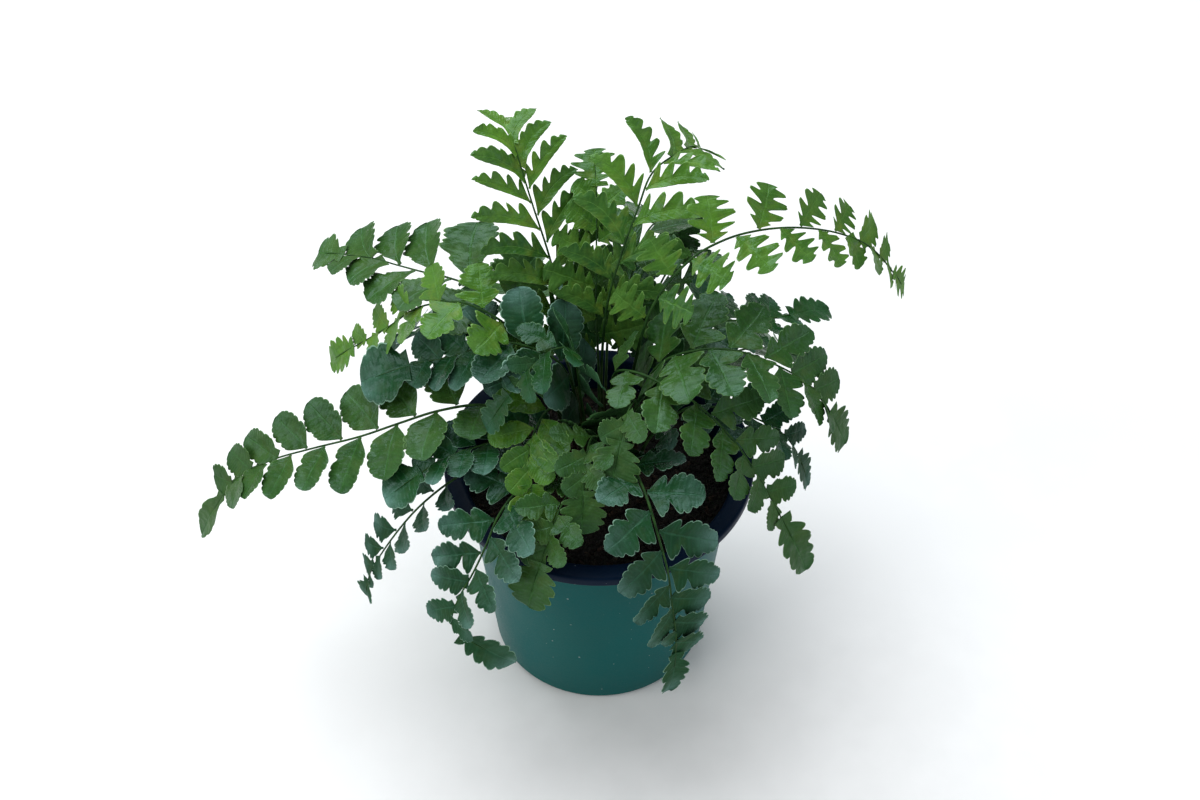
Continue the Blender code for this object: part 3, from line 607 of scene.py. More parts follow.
soil_edge = wall_inside(SOIL_TOP) - WALL_GAP
soil_mesh = mound("soil_plug", soil_height, soil_edge, SOIL_RINGS, SOIL_STEPS,
                  wall_inside(SOIL_LOW) - WALL_GAP, SOIL_LOW)
soil = add_item("soil_plug", settled(soil_mesh, "soil_dark"))
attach(soil, "root")
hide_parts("soil")
print("soil faces:", len(soil.data.polygons))

# %% Shape the crown
CROWN_RADIUS = 22.5
CROWN_HEIGHT = 9.0
CROWN_EDGE = 1.6
CROWN_LOW = SOIL_TOP + 0.3
CROWN_RINGS = 18
CROWN_STEPS = 72
CROWN_FULLNESS = 0.8
CROWN_LUMPS, CROWN_KNOBS = 0.9, 0.35
CROWN_LUMP_NOISE, CROWN_KNOB_NOISE = (1.0, 0.33), (6.0, 0.9)
SMOOTH_RIM = 3.0


def crown_height(x, y):
    """Height of the crown's top at a place, in millimetres."""
    radius = min(hypot(x, y), CROWN_RADIUS)
    dome = (CROWN_HEIGHT - CROWN_EDGE) * cos(0.5 * pi * radius / CROWN_RADIUS) ** CROWN_FULLNESS
    lumps = uneven(x, y, *CROWN_LUMP_NOISE) * CROWN_LUMPS + uneven(x, y, *CROWN_KNOB_NOISE) * CROWN_KNOBS
    return CROWN_LOW + (CROWN_EDGE + dome) + lumps * min(1.0, (CROWN_RADIUS - radius) / SMOOTH_RIM)


crown_mesh = mound("crown_body", crown_height, CROWN_RADIUS, CROWN_RINGS, CROWN_STEPS,
                   CROWN_RADIUS, CROWN_LOW)
crown = add_item("crown_body", settled(crown_mesh, "crown_brown"))
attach(crown, "root")
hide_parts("crown")
print("crown faces:", len(crown.data.polygons))

# %% [markdown]
# ## Scattering small things
#
# Crumbs, chips and scales repeat hundreds of times, so a Geometry Nodes tree spreads them: it draws points
# on a surface, puts one of several small shapes on each, turns it at random and gives it a random size.
# Its inputs name the shapes, how many there are for each square metre, their sizes and lean, and the seed,
# so that one tree serves every scatter. At its end the copies become real faces with a finish.

# %% Build the scatter tree
SHAPE_KINDS = 12


def named(tree, name, kind="FLOAT"):
    """A value that the points carry, by name."""
    return add_node(tree, "GeometryNodeInputNamedAttribute", {"Name": name}, data_type=kind)[0]


def drawn(low, high, seed, kind="FLOAT"):
    """A random number for each point; whole numbers have sockets of their own."""
    first = {"FLOAT": 2, "INT": 4}[kind]
    inputs = {first: low, first + 1: high, "Seed": seed}
    return add_node(scatter, "FunctionNodeRandomValue", inputs, data_type=kind)[first // 2]


def change(geometry, kind, **inputs):
    """The geometry after one more node."""
    return add_node(geometry.id_data, "GeometryNode" + kind, {0: geometry, **inputs})[0]


def members(collection):
    """The members of a collection one by one, in the order of their names."""
    inputs = {0: collection, "Separate Children": True, "Reset Children": True}
    return add_node(collection.id_data, "GeometryNodeCollectionInfo", inputs)[0]


scatter, given, closing = new_group(
    "scatter_on_surface", "GeometryNodeTree",
    {"Surface": "Geometry", "Shapes": "Collection", "Finish": "Material", "Density": "Float",
     "Smallest": "Float", "Largest": "Float", "Lean": "Float", "Seed": "Int"}, {"Pieces": "Geometry"})
spots = add_node(scatter, "GeometryNodeDistributePointsOnFaces", {
    "Mesh": given["Surface"], "Density": times(named(scatter, "cover"), given["Density"]),
    "Seed": given["Seed"]})
back = times(given["Lean"], -1.0)
angles = add_node(scatter, "ShaderNodeCombineXYZ", {
    0: drawn(back, given["Lean"], 11), 1: drawn(back, given["Lean"], 12), 2: drawn(0.0, tau, 13)})[0]
turn = {0: spots["Rotation"], 1: add_node(scatter, "FunctionNodeEulerToRotation", {0: angles})[0]}
turn = add_node(scatter, "FunctionNodeRotateRotation", turn, rotation_space="LOCAL")
copies = add_node(scatter, "GeometryNodeInstanceOnPoints", {
    "Points": spots["Points"], "Instance": members(given["Shapes"]), "Pick Instance": True,
    "Instance Index": drawn(0, SHAPE_KINDS - 1, 14, "INT"), "Rotation": turn[0],
    "Scale": drawn(given["Smallest"], given["Largest"], 15)})[0]
copies = change(change(copies, "RealizeInstances"), "SetMaterial", Material=given["Finish"])
give(closing, {"Pieces": copies})
print("tree:", scatter.name)

# %% Run a tree and keep its result as a plain mesh
def run_tree(carrier, tree, values, name):
    """Give the tree its inputs on the carrier, and keep the result as a plain mesh object."""
    modifier = carrier.modifiers.new(tree.name, "NODES")
    modifier.node_group = tree
    sockets = {item.name: item.identifier for item in tree.interface.items_tree if item.in_out == "INPUT"}
    for title, value in values.items():
        modifier[sockets[title]] = value
    carrier.update_tag()
    graph = bpy.context.evaluated_depsgraph_get()
    mesh = bpy.data.meshes.new_from_object(
        carrier.evaluated_get(graph), preserve_all_data_layers=True, depsgraph=graph)
    mesh.name = name
    bpy.data.objects.remove(carrier)
    return add_item(name, mesh)


def keep_drawings(name, meshes):
    """Drawings to copy, in a collection of their own that isn't in the scene."""
    collection = bpy.data.collections.new(name)
    for mesh in meshes:
        collection.objects.link(bpy.data.objects.new(mesh.name, mesh))
    return collection


def drop_drawings(collection):
    """Remove the drawings once their copies are made."""
    for item in list(collection.objects):
        bpy.data.objects.remove(item)
    bpy.data.collections.remove(collection)


def shape_kinds(name, maker):
    """Drawings of a small shape."""
    draw = random.Random(name)
    return keep_drawings(name, [settled(make_mesh(f"{name}_{number:02d}", *maker(draw), unit=1.0))
                                for number in range(SHAPE_KINDS)])


def spread(name, kinds, ground, cover, upward, values):
    """Spread small shapes over a piece where the cover says so, on faces that look up far enough."""
    points = [vertex.co / MM for vertex in ground.data.vertices]
    faces = [tuple(face.vertices) for face in ground.data.polygons if face.normal.z >= upward]
    carrier = add_item(name + "_carrier", make_mesh(name + "_carrier", points, faces))
    mark(carrier.data, "cover", [float(cover(point)) for point in points])
    return run_tree(carrier, scatter, {"Shapes": kinds, **values}, name)


print("runner ready")

# %% [markdown]
# ## Crumbs, chips and root threads
#
# The small shapes are rough on purpose: a crumb is a ball of twenty faces with its corners pushed about, a
# bark chip a flat six-sided splinter, a root thread a thin bent tube. They are one or two units long, and
# the scatter tree brings them down to millimetres.

# %% Shape a crumb, a chip and a thread, and scatter them
CHIP_OUTLINE = ((-0.5, -0.35), (-0.3, -0.5), (0.35, -0.5), (0.5, 0.1), (0.2, 0.5), (-0.42, 0.42))
CRUMB_FLAT, CRUMB_STRETCH, CRUMB_PUSH = (0.55, 0.9), (0.8, 1.4), (0.72, 1.25)
CHIP_LENGTH, CHIP_WIDTH, CHIP_THICK = (0.8, 1.6), (0.3, 0.6), (0.10, 0.2)
THREAD_STEPS = 9
THREAD_SIDES = 5
THREAD_THICK, THREAD_BEND = (0.022, 0.035), (-1.4, 1.4)
FLAT_ENOUGH = 0.3
WALL_MARGIN = 2.0


def crumb(draw):
    """A ball of twenty faces with its corners pushed about."""
    ball = bmesh.new()
    bmesh.ops.create_icosphere(ball, subdivisions=1, radius=0.5)
    flat, stretch = draw.uniform(*CRUMB_FLAT), draw.uniform(*CRUMB_STRETCH)
    points = [Vector((corner.co.x * stretch, corner.co.y, corner.co.z * flat)) * draw.uniform(*CRUMB_PUSH)
              for corner in ball.verts]
    faces = [tuple(corner.index for corner in face.verts) for face in ball.faces]
    ball.free()
    return points, faces


def chip(draw):
    """A flat splinter with torn ends."""
    length, width, thick = [draw.uniform(*sizes) for sizes in (CHIP_LENGTH, CHIP_WIDTH, CHIP_THICK)]
    outline = [(x * length * draw.uniform(0.85, 1.15), y * width * draw.uniform(0.7, 1.2))
               for x, y in CHIP_OUTLINE]
    points = [(x, y, side * thick + draw.uniform(-0.03, 0.03)) for side in (-0.5, 0.5) for x, y in outline]
    return points, skin(2, len(outline))


def thread(draw):
    """A thin bent tube that lies on the ground."""
    thick, bend = draw.uniform(*THREAD_THICK), draw.uniform(*THREAD_BEND)
    points = []
    for step in range(THREAD_STEPS + 1):
        share = step / THREAD_STEPS - 0.5
        centre = Vector((share * 2.0, bend * share * share, 0.06 * sin(5.0 * share + bend)))
        points += [centre + Vector((0, y, z)) * thick for y, z in circle(1.0, THREAD_SIDES)]
    return points, skin(THREAD_STEPS + 1, THREAD_SIDES)


def soil_cover(point):
    """Loose pieces lie between the crown and the wall."""
    return SOIL_LEVEL < hypot(point.x, point.y) < soil_edge - WALL_MARGIN


SOIL_SCATTERS = {
    "soil_crumbs": (crumb, {"Finish": finishes["soil_crumb"], "Density": 300000.0, "Smallest": 0.0009,
                            "Largest": 0.0030, "Lean": 0.6, "Seed": 3}),
    "bark_chips": (chip, {"Finish": finishes["bark_chip"], "Density": 34000.0, "Smallest": 0.0016,
                          "Largest": 0.0060, "Lean": 0.45, "Seed": 4}),
    "root_threads": (thread, {"Finish": finishes["scale_brown"], "Density": 9000.0, "Smallest": 0.0025,
                              "Largest": 0.0060, "Lean": 0.25, "Seed": 5}),
}
for name, (maker, values) in SOIL_SCATTERS.items():
    kinds = shape_kinds(name, maker)
    piece = spread(name, kinds, soil, soil_cover, FLAT_ENOUGH, values)
    drop_drawings(kinds)
    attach(piece, "root")
    print(name, "faces:", len(piece.data.polygons))

# %% [markdown]
# ## Scales on the crown
#
# The rhizome is covered with narrow papery scales that point outwards and overlap. A scale is a thin
# pointed blade with a raised middle. The same scatter tree sets about a thousand of them on the dome.

# %% Scatter the scales
# Rows of a scale from its root to its tip: how far along, and how wide.
SCALE_ROWS = ((0.0, 0.6), (0.35, 1.0), (0.7, 0.6), (1.0, 0.08))
SCALE_LENGTH, SCALE_WIDTH, SCALE_BEND = (0.8, 1.3), (0.13, 0.22), (0.15, 0.6)
BARE_RIM = 0.4
ANY_WAY = -1.5
CROWN_SCALES = {"Finish": finishes["scale_brown"], "Density": 520000.0, "Smallest": 0.0018,
                "Largest": 0.0042, "Lean": 0.9, "Seed": 6}


def scale_blade(draw):
    """A thin pointed blade that stands on its root and bends over."""
    length, width, bend = [draw.uniform(*sizes) for sizes in (SCALE_LENGTH, SCALE_WIDTH, SCALE_BEND)]
    points = []
    for share, wide in SCALE_ROWS:
        x, z = bend * length * share * share, length * share * (1 - 0.3 * bend * share)
        half = 0.5 * width * wide
        points += [(x, -half, z), (x + 0.06 * wide, 0.0, z), (x, half, z), (x - 0.02, 0.0, z)]
    return points, skin(len(SCALE_ROWS), 4)


def crown_cover(point):
    """Scales grow everywhere on the dome above its rim."""
    return point.z > CROWN_LOW + BARE_RIM


scale_kinds = shape_kinds("crown scales", scale_blade)
crown_hair = spread("crown_hair", scale_kinds, crown, crown_cover, ANY_WAY, CROWN_SCALES)
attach(crown_hair, "root")
print("crown scales faces:", len(crown_hair.data.polygons))

# %% [markdown]
# ## Where the fronds run
#
# A frond is a stalk that leaves the crown, arches over and carries leaflets on alternate sides up to an
# end leaflet. Its solid was made from a few points along that arch and from the sizes below. The finer
# piece follows the same ones, so that it sits on its solid.

# %% Sizes of stalks and leaflets, and the leaflet styles
STALK_FOOT = CROWN_LOW + 2.5
STALK_STRAIGHT = 6.5
STALK_WIDTH = (2.0, 0.95)
STALK_DEPTH = 0.85
STALK_TAPER = 0.7
LEVELLING = 0.85
CURVE_STEPS = 160
LEAFLET_ANGLE = (72.0, 44.0)
LEAFLET_TILT = radians(10.0)
LEAFLET_RAISE = 10.0
CROWDING = 1.04
SHORT_FIRST = 0.80
FULL_FROM = 0.25
SHRINK_FROM = 0.3
SHRINK_POWER = 1.4
SHORT_LAST = 0.42
OPEN_SPACING = 1.22
LAST_SHARE = 0.35
END_OVERLAP = 0.25
END_WIDTH = 0.95
ANGLE_DRAW = 5.0
RAISE_DRAW = 7.0
LENGTH_DRAW = (0.93, 1.05)

# A cut between two lobes is its place from root to tip, its depth and its half width. The upper side of a
# leaflet faces the frond's tip, and the lower side its foot.
Style = namedtuple(
    "Style", "width droop cup egg sinus teeth wide lower_width upper_cuts lower_cuts end_cuts"
             " ear bow lean wedge", defaults=(0.0, 0.0, 0.45, 0.34))
STYLES = {
    "round": Style(
        width=0.78, droop=0.08, cup=0.14, egg=0.22, sinus=0.5, teeth=0.10, wide=1.05, lower_width=0.92,
        upper_cuts=((0.42, 0.22, 0.12),), lower_cuts=((0.46, 0.16, 0.12),),
        end_cuts=((0.24, 0.24, 0.11), (0.46, 0.18, 0.11), (0.67, 0.12, 0.10))),
    "oak": Style(
        width=0.76, droop=0.10, cup=0.12, egg=0.30, sinus=2.6, teeth=0.05, wide=1.08, lower_width=0.96,
        upper_cuts=((0.26, 0.66, 0.075), (0.45, 0.78, 0.075), (0.63, 0.72, 0.075), (0.80, 0.54, 0.065)),
        lower_cuts=((0.30, 0.70, 0.075), (0.51, 0.78, 0.080), (0.72, 0.64, 0.075)),
        end_cuts=((0.20, 0.66, 0.080), (0.39, 0.70, 0.080), (0.58, 0.62, 0.080), (0.76, 0.48, 0.070)),
        lean=0.50),
    "finger": Style(
        width=0.50, droop=0.08, cup=0.12, egg=0.10, sinus=1.2, teeth=0.06, wide=0.86, lower_width=0.52,
        upper_cuts=((0.36, 0.94, 0.080), (0.52, 0.82, 0.070), (0.67, 0.74, 0.065), (0.81, 0.60, 0.055)),
        lower_cuts=((0.86, 0.40, 0.050),),
        end_cuts=((0.20, 0.76, 0.080), (0.40, 0.76, 0.080), (0.59, 0.68, 0.075), (0.77, 0.54, 0.065)),
        ear=0.34, bow=0.25, lean=0.72),
    "fan": Style(
        width=0.84, droop=0.08, cup=0.14, egg=0.66, sinus=0.5, teeth=0.14, wide=0.98, lower_width=0.88,
        upper_cuts=((0.40, 0.42, 0.12), (0.63, 0.36, 0.10), (0.82, 0.28, 0.08)),
        lower_cuts=((0.56, 0.36, 0.12),),
        end_cuts=((0.26, 0.44, 0.12), (0.48, 0.34, 0.12), (0.69, 0.24, 0.10)), bow=0.08, wedge=0.70),
    "eared": Style(
        width=0.66, droop=0.10, cup=0.14, egg=0.12, sinus=0.6, teeth=0.16, wide=0.88, lower_width=0.90,
        upper_cuts=((0.42, 0.95, 0.12), (0.69, 0.26, 0.10)),
        lower_cuts=((0.38, 0.84, 0.12), (0.70, 0.20, 0.10)),
        end_cuts=((0.18, 0.60, 0.11), (0.35, 0.52, 0.11), (0.52, 0.42, 0.11), (0.68, 0.30, 0.09)), ear=0.34),
}
print("leaflet styles:", list(STYLES))

# %% The fronds and their routes, in millimetres
# Each row: name, leaflet style and colour, where the leaflets start along the frond, how many there are, the
# longest of them, the end leaflet, the roll of the blade about the stalk, the stalk's foot on the crown, and
# points on the arching stalk up to the tip of the end leaflet.
Frond = namedtuple("Frond", "name style colour start count longest end roll foot route")
FRONDS = [Frond("frond_" + name, *values) for name, *values in (
    ("tall_back_left", "finger", "light", 0.38, 17, 30, 12, 0, (-3, 7), ((-8, 15, 130), (-13, 22, 160),
     (-19, 32, 187), (-26, 43, 207), (-31, 52, 221), (-34, 60, 227), (-36, 68, 227), (-38, 77, 220))),
    ("tall_back_right", "finger", "light", 0.42, 15, 26, 14, 8, (3, 7), ((1, 13, 140), (3, 17, 176),
     (9, 24, 199), (15, 33, 213), (20, 42, 222), (29, 53, 223), (39, 69, 216), (46, 82, 198))),
    ("long_right", "oak", "light", 0.38, 16, 23, 12, 14, (8, 2), ((13, 4, 150), (20, 7, 184), (33, 12, 203),
     (47, 17, 210), (62, 22, 211), (78, 27, 208), (95, 33, 200), (110, 39, 187), (127, 46, 162))),
    ("middle_right", "round", "mid", 0.36, 14, 24, 15, 8, (12, -2), ((16, -3, 145), (24, -5, 167),
     (38, -8, 177), (53, -11, 179), (68, -15, 175), (80, -17, 167), (89, -19, 155), (95, -20, 140))),
    ("shaded_right", "oak", "dark", 0.4, 12, 21, 15, 10, (15, 7), ((21, 11, 140), (34, 17, 163),
     (48, 25, 162), (63, 33, 155), (79, 42, 150), (94, 50, 147))),
    ("arching_front_right", "eared", "mid", 0.4, 14, 22, 18, 12, (6, -3), ((5, -3, 140), (6, -5, 161),
     (14, -11, 168), (25, -18, 168), (36, -25, 166), (50, -34, 156), (61, -42, 142), (71, -49, 125),
     (79, -55, 111))),
    ("over_front_right", "eared", "blue", 0.24, 15, 25, 14, 0, (7, -12), ((9, -20, 126), (13, -36, 141),
     (17, -50, 144), (20, -60, 141), (23, -67, 133), (26, -73, 123), (28, -77, 107), (30, -79, 89),
     (30, -80, 66))),
    ("over_front_left", "eared", "blue", 0.28, 13, 23, 20, 0, (-7, -11), ((-14, -22, 124), (-24, -33, 133),
     (-33, -42, 132), (-39, -50, 128), (-43, -58, 122), (-48, -65, 114), (-54, -71, 105), (-57, -75, 97),
     (-54, -78, 91), (-45, -80, 88), (-34, -81, 86))),
    ("trailing_left", "fan", "blue", 0.52, 11, 13, 9, -15, (-16, -9), ((-26, -14, 119), (-44, -23, 131),
     (-58, -29, 126), (-70, -31, 115), (-79, -34, 105), (-88, -37, 92), (-95, -39, 79), (-98, -41, 66))),
    ("long_left", "round", "mid", 0.34, 16, 23, 18, -10, (-15, -3), ((-20, -4, 118), (-31, -5, 137),
     (-46, -7, 146), (-63, -9, 145), (-79, -11, 140), (-96, -13, 134), (-116, -15, 129), (-133, -16, 123),
     (-149, -17, 112), (-165, -19, 88))),
    ("upper_left", "fan", "mid", 0.42, 11, 26, 12, -18, (-10, 8), ((-18, 14, 140), (-33, 20, 169),
     (-48, 27, 177), (-60, 33, 178), (-71, 39, 176), (-83, 46, 174), (-95, 53, 172), (-118, 64, 166))),
    ("middle_left", "round", "blue", 0.32, 13, 23, 19, -10, (-7, 2), ((-9, 1, 140), (-16, 0, 163),
     (-33, 0, 173), (-48, 1, 169), (-61, 2, 163), (-73, 3, 159), (-93, 3, 150))),
    ("young_left", "oak", "light", 0.4, 12, 20, 15, -8, (-12, 3), ((-19, 4, 140), (-33, 6, 173),
     (-50, 9, 185), (-62, 12, 183), (-73, 16, 176), (-86, 19, 163), (-112, 25, 140))),
    ("lower_left", "round", "blue", 0.3, 12, 19, 15, -6, (-11, -6), ((-18, -9, 124), (-30, -15, 136),
     (-43, -21, 139), (-58, -28, 139), (-68, -32, 135), (-82, -38, 127))),
    ("centre_front", "round", "light", 0.34, 12, 21, 15, 0, (-4, -7), ((-10, -6, 128), (-18, -11, 148),
     (-24, -21, 149), (-27, -32, 143), (-26, -42, 136), (-25, -50, 124))),
    ("centre_right", "round", "mid", 0.38, 10, 19, 15, 0, (2, -7), ((8, -10, 128), (13, -15, 150),
     (14, -21, 163), (11, -29, 165), (8, -37, 156), (6, -44, 143))),
    ("centre_left", "eared", "dark", 0.36, 12, 21, 15, -10, (-5, -2), ((-7, -4, 145), (-10, -7, 174),
     (-17, -11, 180), (-25, -15, 175), (-33, -19, 166), (-43, -24, 152))),
    ("centre_low", "round", "mid", 0.36, 10, 16, 13, 0, (3, -16), ((2, -17, 125), (0, -21, 142),
     (-3, -28, 149), (-5, -37, 147), (-6, -46, 140), (-6, -54, 128))),
    ("short_front", "round", "mid", 0.34, 10, 18, 15, 0, (-2, -15), ((-4, -23, 119), (-9, -36, 131),
     (-14, -48, 134), (-18, -58, 130), (-22, -66, 121), (-27, -74, 108))),
    ("low_right", "eared", "blue", 0.34, 12, 20, 15, 10, (13, -8), ((21, -9, 130), (34, -11, 148),
     (45, -13, 151), (57, -16, 150), (69, -20, 146), (77, -22, 137), (84, -24, 119))),
    ("back_upright", "oak", "light", 0.44, 11, 21, 14, 0, (0, 11), ((0, 16, 135), (-1, 24, 168),
     (-1, 35, 191), (-1, 49, 206), (-2, 66, 215))),
    ("back_middle", "round", "mid", 0.42, 12, 20, 13, 0, (5, 12), ((8, 22, 148), (13, 36, 176),
     (19, 52, 185), (26, 68, 180), (33, 83, 165), (38, 92, 147))),
    ("back_right_low", "round", "mid", 0.34, 13, 20, 14, 0, (17, 3), ((26, 8, 124), (42, 18, 141),
     (59, 30, 141), (74, 42, 131), (86, 53, 116), (93, 62, 99))),
    ("back_right", "oak", "mid", 0.36, 12, 21, 14, 0, (10, 13), ((15, 25, 134), (23, 43, 158),
     (31, 62, 161), (39, 80, 153), (46, 95, 139), (50, 105, 122))),
    ("back", "round", "dark", 0.36, 12, 22, 14, 0, (2, 16), ((3, 28, 130), (4, 48, 152), (4, 69, 154),
     (2, 88, 145), (0, 103, 130), (-1, 112, 112))),
    ("back_left", "eared", "mid", 0.36, 13, 21, 15, 0, (-6, 15), ((-12, 28, 130), (-23, 46, 148),
     (-34, 63, 150), (-45, 80, 142), (-55, 94, 128), (-60, 102, 110))),
    ("back_left_low", "round", "blue", 0.34, 12, 20, 14, 0, (-16, 10), ((-27, 18, 120), (-44, 31, 137),
     (-61, 44, 139), (-76, 56, 131), (-89, 66, 117), (-96, 72, 100))),
)]
# A leaflet that would touch a neighbour takes the first of these that is clear: raised about the stalk,
# swung along the stalk, and its size.
CHOICES = (
    (0, 0, 1.0), (12, 0, 1.0), (-12, 0, 1.0), (24, 0, 1.0), (-24, 0, 1.0), (0, 12, 0.92), (0, -12, 0.92),
    (36, 0, 0.95), (-36, 0, 0.95), (20, 14, 0.85), (-20, 14, 0.85), (20, -14, 0.85), (-20, -14, 0.85),
    (48, 0, 0.85), (-48, 0, 0.85), (0, 0, 0.70), (28, 0, 0.70), (-28, 0, 0.70), (60, 10, 0.75),
    (-60, 10, 0.75), (0, 16, 0.55), (0, -16, 0.55),
)
print("fronds:", len(FRONDS))

# %% Follow a stalk
def between(low, high, share):
    """The value at a share of the way from low to high."""
    return low + (high - low) * share


def smooth_curve(points):
    """Steps along the smooth curve that passes through the points."""
    points = [2 * points[0] - points[1], *points, 2 * points[-1] - points[-2]]
    spans = len(points) - 3
    curve = []
    for step in range(CURVE_STEPS + 1):
        position = spans * step / CURVE_STEPS
        span = min(int(position), spans - 1)
        t = position - span
        before, here, there, after = points[span:span + 4]
        bent = (2 * before - 5 * here + 4 * there - after) * t ** 2
        twisted = (3 * here - before - 3 * there + after) * t ** 3
        curve.append(0.5 * (2 * here + (there - before) * t + bent + twisted))
    return curve


class Stalk:
    """A frond's stalk: its curve measured along its length, with a frame at each place."""

    def __init__(self, frond):
        foot = Vector((*frond.foot, STALK_FOOT))
        self.points = smooth_curve([foot, foot + UP * STALK_STRAIGHT, *map(Vector, frond.route)])
        self.lengths = [0.0]
        for before, after in zip(self.points, self.points[1:]):
            self.lengths.append(self.lengths[-1] + (after - before).length)
        self.length = self.lengths[-1] - frond.end
        self.roll = frond.roll
        points = [self.points[0], *self.points, self.points[-1]]
        self.along = [(after - before).normalized() for before, after in zip(points, points[2:])]
        # The sideways direction is carried along the curve and drawn back to level.
        heading = self.points[-1] - self.points[0]
        side = Vector((heading.x, heading.y, 0)).normalized().cross(UP)
        self.sides = []
        for along in self.along:
            side -= along * side.dot(along)
            side.z *= LEVELLING
            side.normalize()
            self.sides.append(side.copy())

    def frame(self, distance, roll=0):
        """Place, direction, sideways and upper side of the stalk at a distance from its foot."""
        step = 0
        while step < CURVE_STEPS - 1 and self.lengths[step + 1] < distance:
            step += 1
        share = (distance - self.lengths[step]) / (self.lengths[step + 1] - self.lengths[step])
        place, along, side = [values[step].lerp(values[step + 1], share)
                              for values in (self.points, self.along, self.sides)]
        along.normalize()
        side = (side - along * side.dot(along)).normalized()
        side = Matrix.Rotation(radians(self.roll + roll), 3, along) @ side
        return place, along, side, side.cross(along)

    def width(self, distance):
        """The stalk tapers from its foot to its end."""
        return between(*STALK_WIDTH, (distance / self.length) ** STALK_TAPER)


print("stalks follow their routes")

# %% [markdown]
# ## Where each leaflet sits
#
# A leaflet's place follows from its number. Where two would have met, the solid's one was raised, swung or
# shrunk by one of the choices above. The right one is found by trying: its tip falls on one of the solid's
# corners. A bud without a match has no leaflet on the solid and gets none here. Some fronds of the real
# plant differ from their solids' style, size or roll, and the table here says how they are drawn.

# %% Place the leaflets on their solids
MATCH = 0.05
RAISE_KEPT = 0.3
Bud = namedtuple("Bud", "number place length spacing")
Leaflet = namedtuple("Leaflet", "root along across upper length width hand number")
# Drawn with another style, longer, wider, with a larger end, rolled by so many degrees, and the end's width.
Looks = namedtuple("Looks", "style longer wider ending roll end_width", defaults=(1.0, 1.0, 1.0, 0, 1.0))
LOOKS = {
    "frond_tall_back_right": Looks("finger", roll=12), "frond_middle_left": Looks("round", roll=-15),
    "frond_long_right": Looks("oak", 0.80, 0.82, 1.3, 20), "frond_upper_left": Looks("fan", 1.0, 1.08),
    "frond_middle_right": Looks("eared", 1.04, 1.18, 1.0, 6),
    "frond_shaded_right": Looks("eared", ending=1.2),
    "frond_arching_front_right": Looks("eared", ending=1.25),
    "frond_over_front_right": Looks("eared", 0.90, 1.04, 1.9),
    "frond_long_left": Looks("round", 1.0, 0.88, 1.3, -13, 0.5),
    "frond_young_left": Looks("eared", 0.96, 1.05, 1.0, -20),
    "frond_centre_right": Looks("eared", 1.04, 1.25), "frond_centre_low": Looks("eared", 1.08, 1.35),
    "frond_short_front": Looks("eared", 1.04, 1.25),
}


def looks_of(frond):
    """How a frond is drawn."""
    return LOOKS.get(frond.name, Looks(frond.style))


def twist(frond, share):
    """How far the leaflets roll about the stalk, more and more towards the frond's tip."""
    return looks_of(frond).roll * (0.5 + share)


def buds(frond, stalk):
    """Where each leaflet sits along the stalk, how long it is, and how far off its neighbour is."""
    first = frond.start * stalk.length
    last = stalk.length - END_OVERLAP * frond.end
    shares = [number / (frond.count - LAST_SHARE) for number in range(frond.count)]
    places = [first + (last - first) * share * between(OPEN_SPACING, 1, share) for share in shares]
    found = []
    for number, (share, place) in enumerate(zip(shares, places)):
        length = frond.longest * between(SHORT_FIRST, 1, min(1.0, share / FULL_FROM))
        late = max(0.0, (share - SHRINK_FROM) / (1 - SHRINK_FROM))
        following = min(number, frond.count - 2) + 1
        spacing = places[following] - places[following - 1]
        found.append(Bud(number, place, length * between(1, SHORT_LAST, late ** SHRINK_POWER), spacing))
    return found


def open_bud(frond, stalk, bud, choice, roll=0):
    """The leaflet of a bud, as one of the choices would turn and size it."""
    raised, swung, size = choice
    centre, along, side, upper = stalk.frame(bud.place, roll)
    hand = 1 if bud.number % 2 else -1
    angle = radians(between(*LEAFLET_ANGLE, bud.number / frond.count) - swung)
    draw = random.Random(f"{frond.name} {bud.number}")
    angle += radians(draw.uniform(-ANGLE_DRAW, ANGLE_DRAW))
    raised += LEAFLET_RAISE + draw.uniform(-RAISE_DRAW, RAISE_DRAW)
    length = bud.length * (size * draw.uniform(*LENGTH_DRAW))
    lift = Matrix.Rotation(radians(-raised * hand), 3, along)
    outwards = lift @ (side * hand)
    across = along * sin(angle) - outwards * cos(angle)
    face = lift @ upper
    width = min(STYLES[frond.style].width * length, 2 * bud.spacing * sin(angle) * CROWDING)
    half = 0.5 * stalk.width(bud.place)
    return Leaflet(
        root=centre + side * (hand * half) + upper * (STALK_DEPTH * half),
        along=along * cos(angle) + outwards * sin(angle),
        across=across * cos(LEAFLET_TILT) - face * sin(LEAFLET_TILT),
        upper=face * cos(LEAFLET_TILT) + across * sin(LEAFLET_TILT),
        length=length, width=width, hand=hand, number=bud.number)


def end_leaflet(frond, stalk):
    """The leaflet that closes the end of the frond."""
    centre, along, side, upper = stalk.frame(stalk.length, twist(frond, 1.0))
    root = centre + upper * (STALK_DEPTH * 0.5 * stalk.width(stalk.length))
    width = STYLES[frond.style].width * frond.end * END_WIDTH
    return Leaflet(root, along, side, upper, frond.end, width, 0, frond.count)


def solid_corners(node):
    """A search tree of a solid's corners, in millimetres."""
    vertices = frame["nodes"][node].data.vertices
    tree = kdtree.KDTree(len(vertices))
    for vertex in vertices:
        tree.insert(vertex.co / MM, vertex.index)
    tree.balance()
    return tree


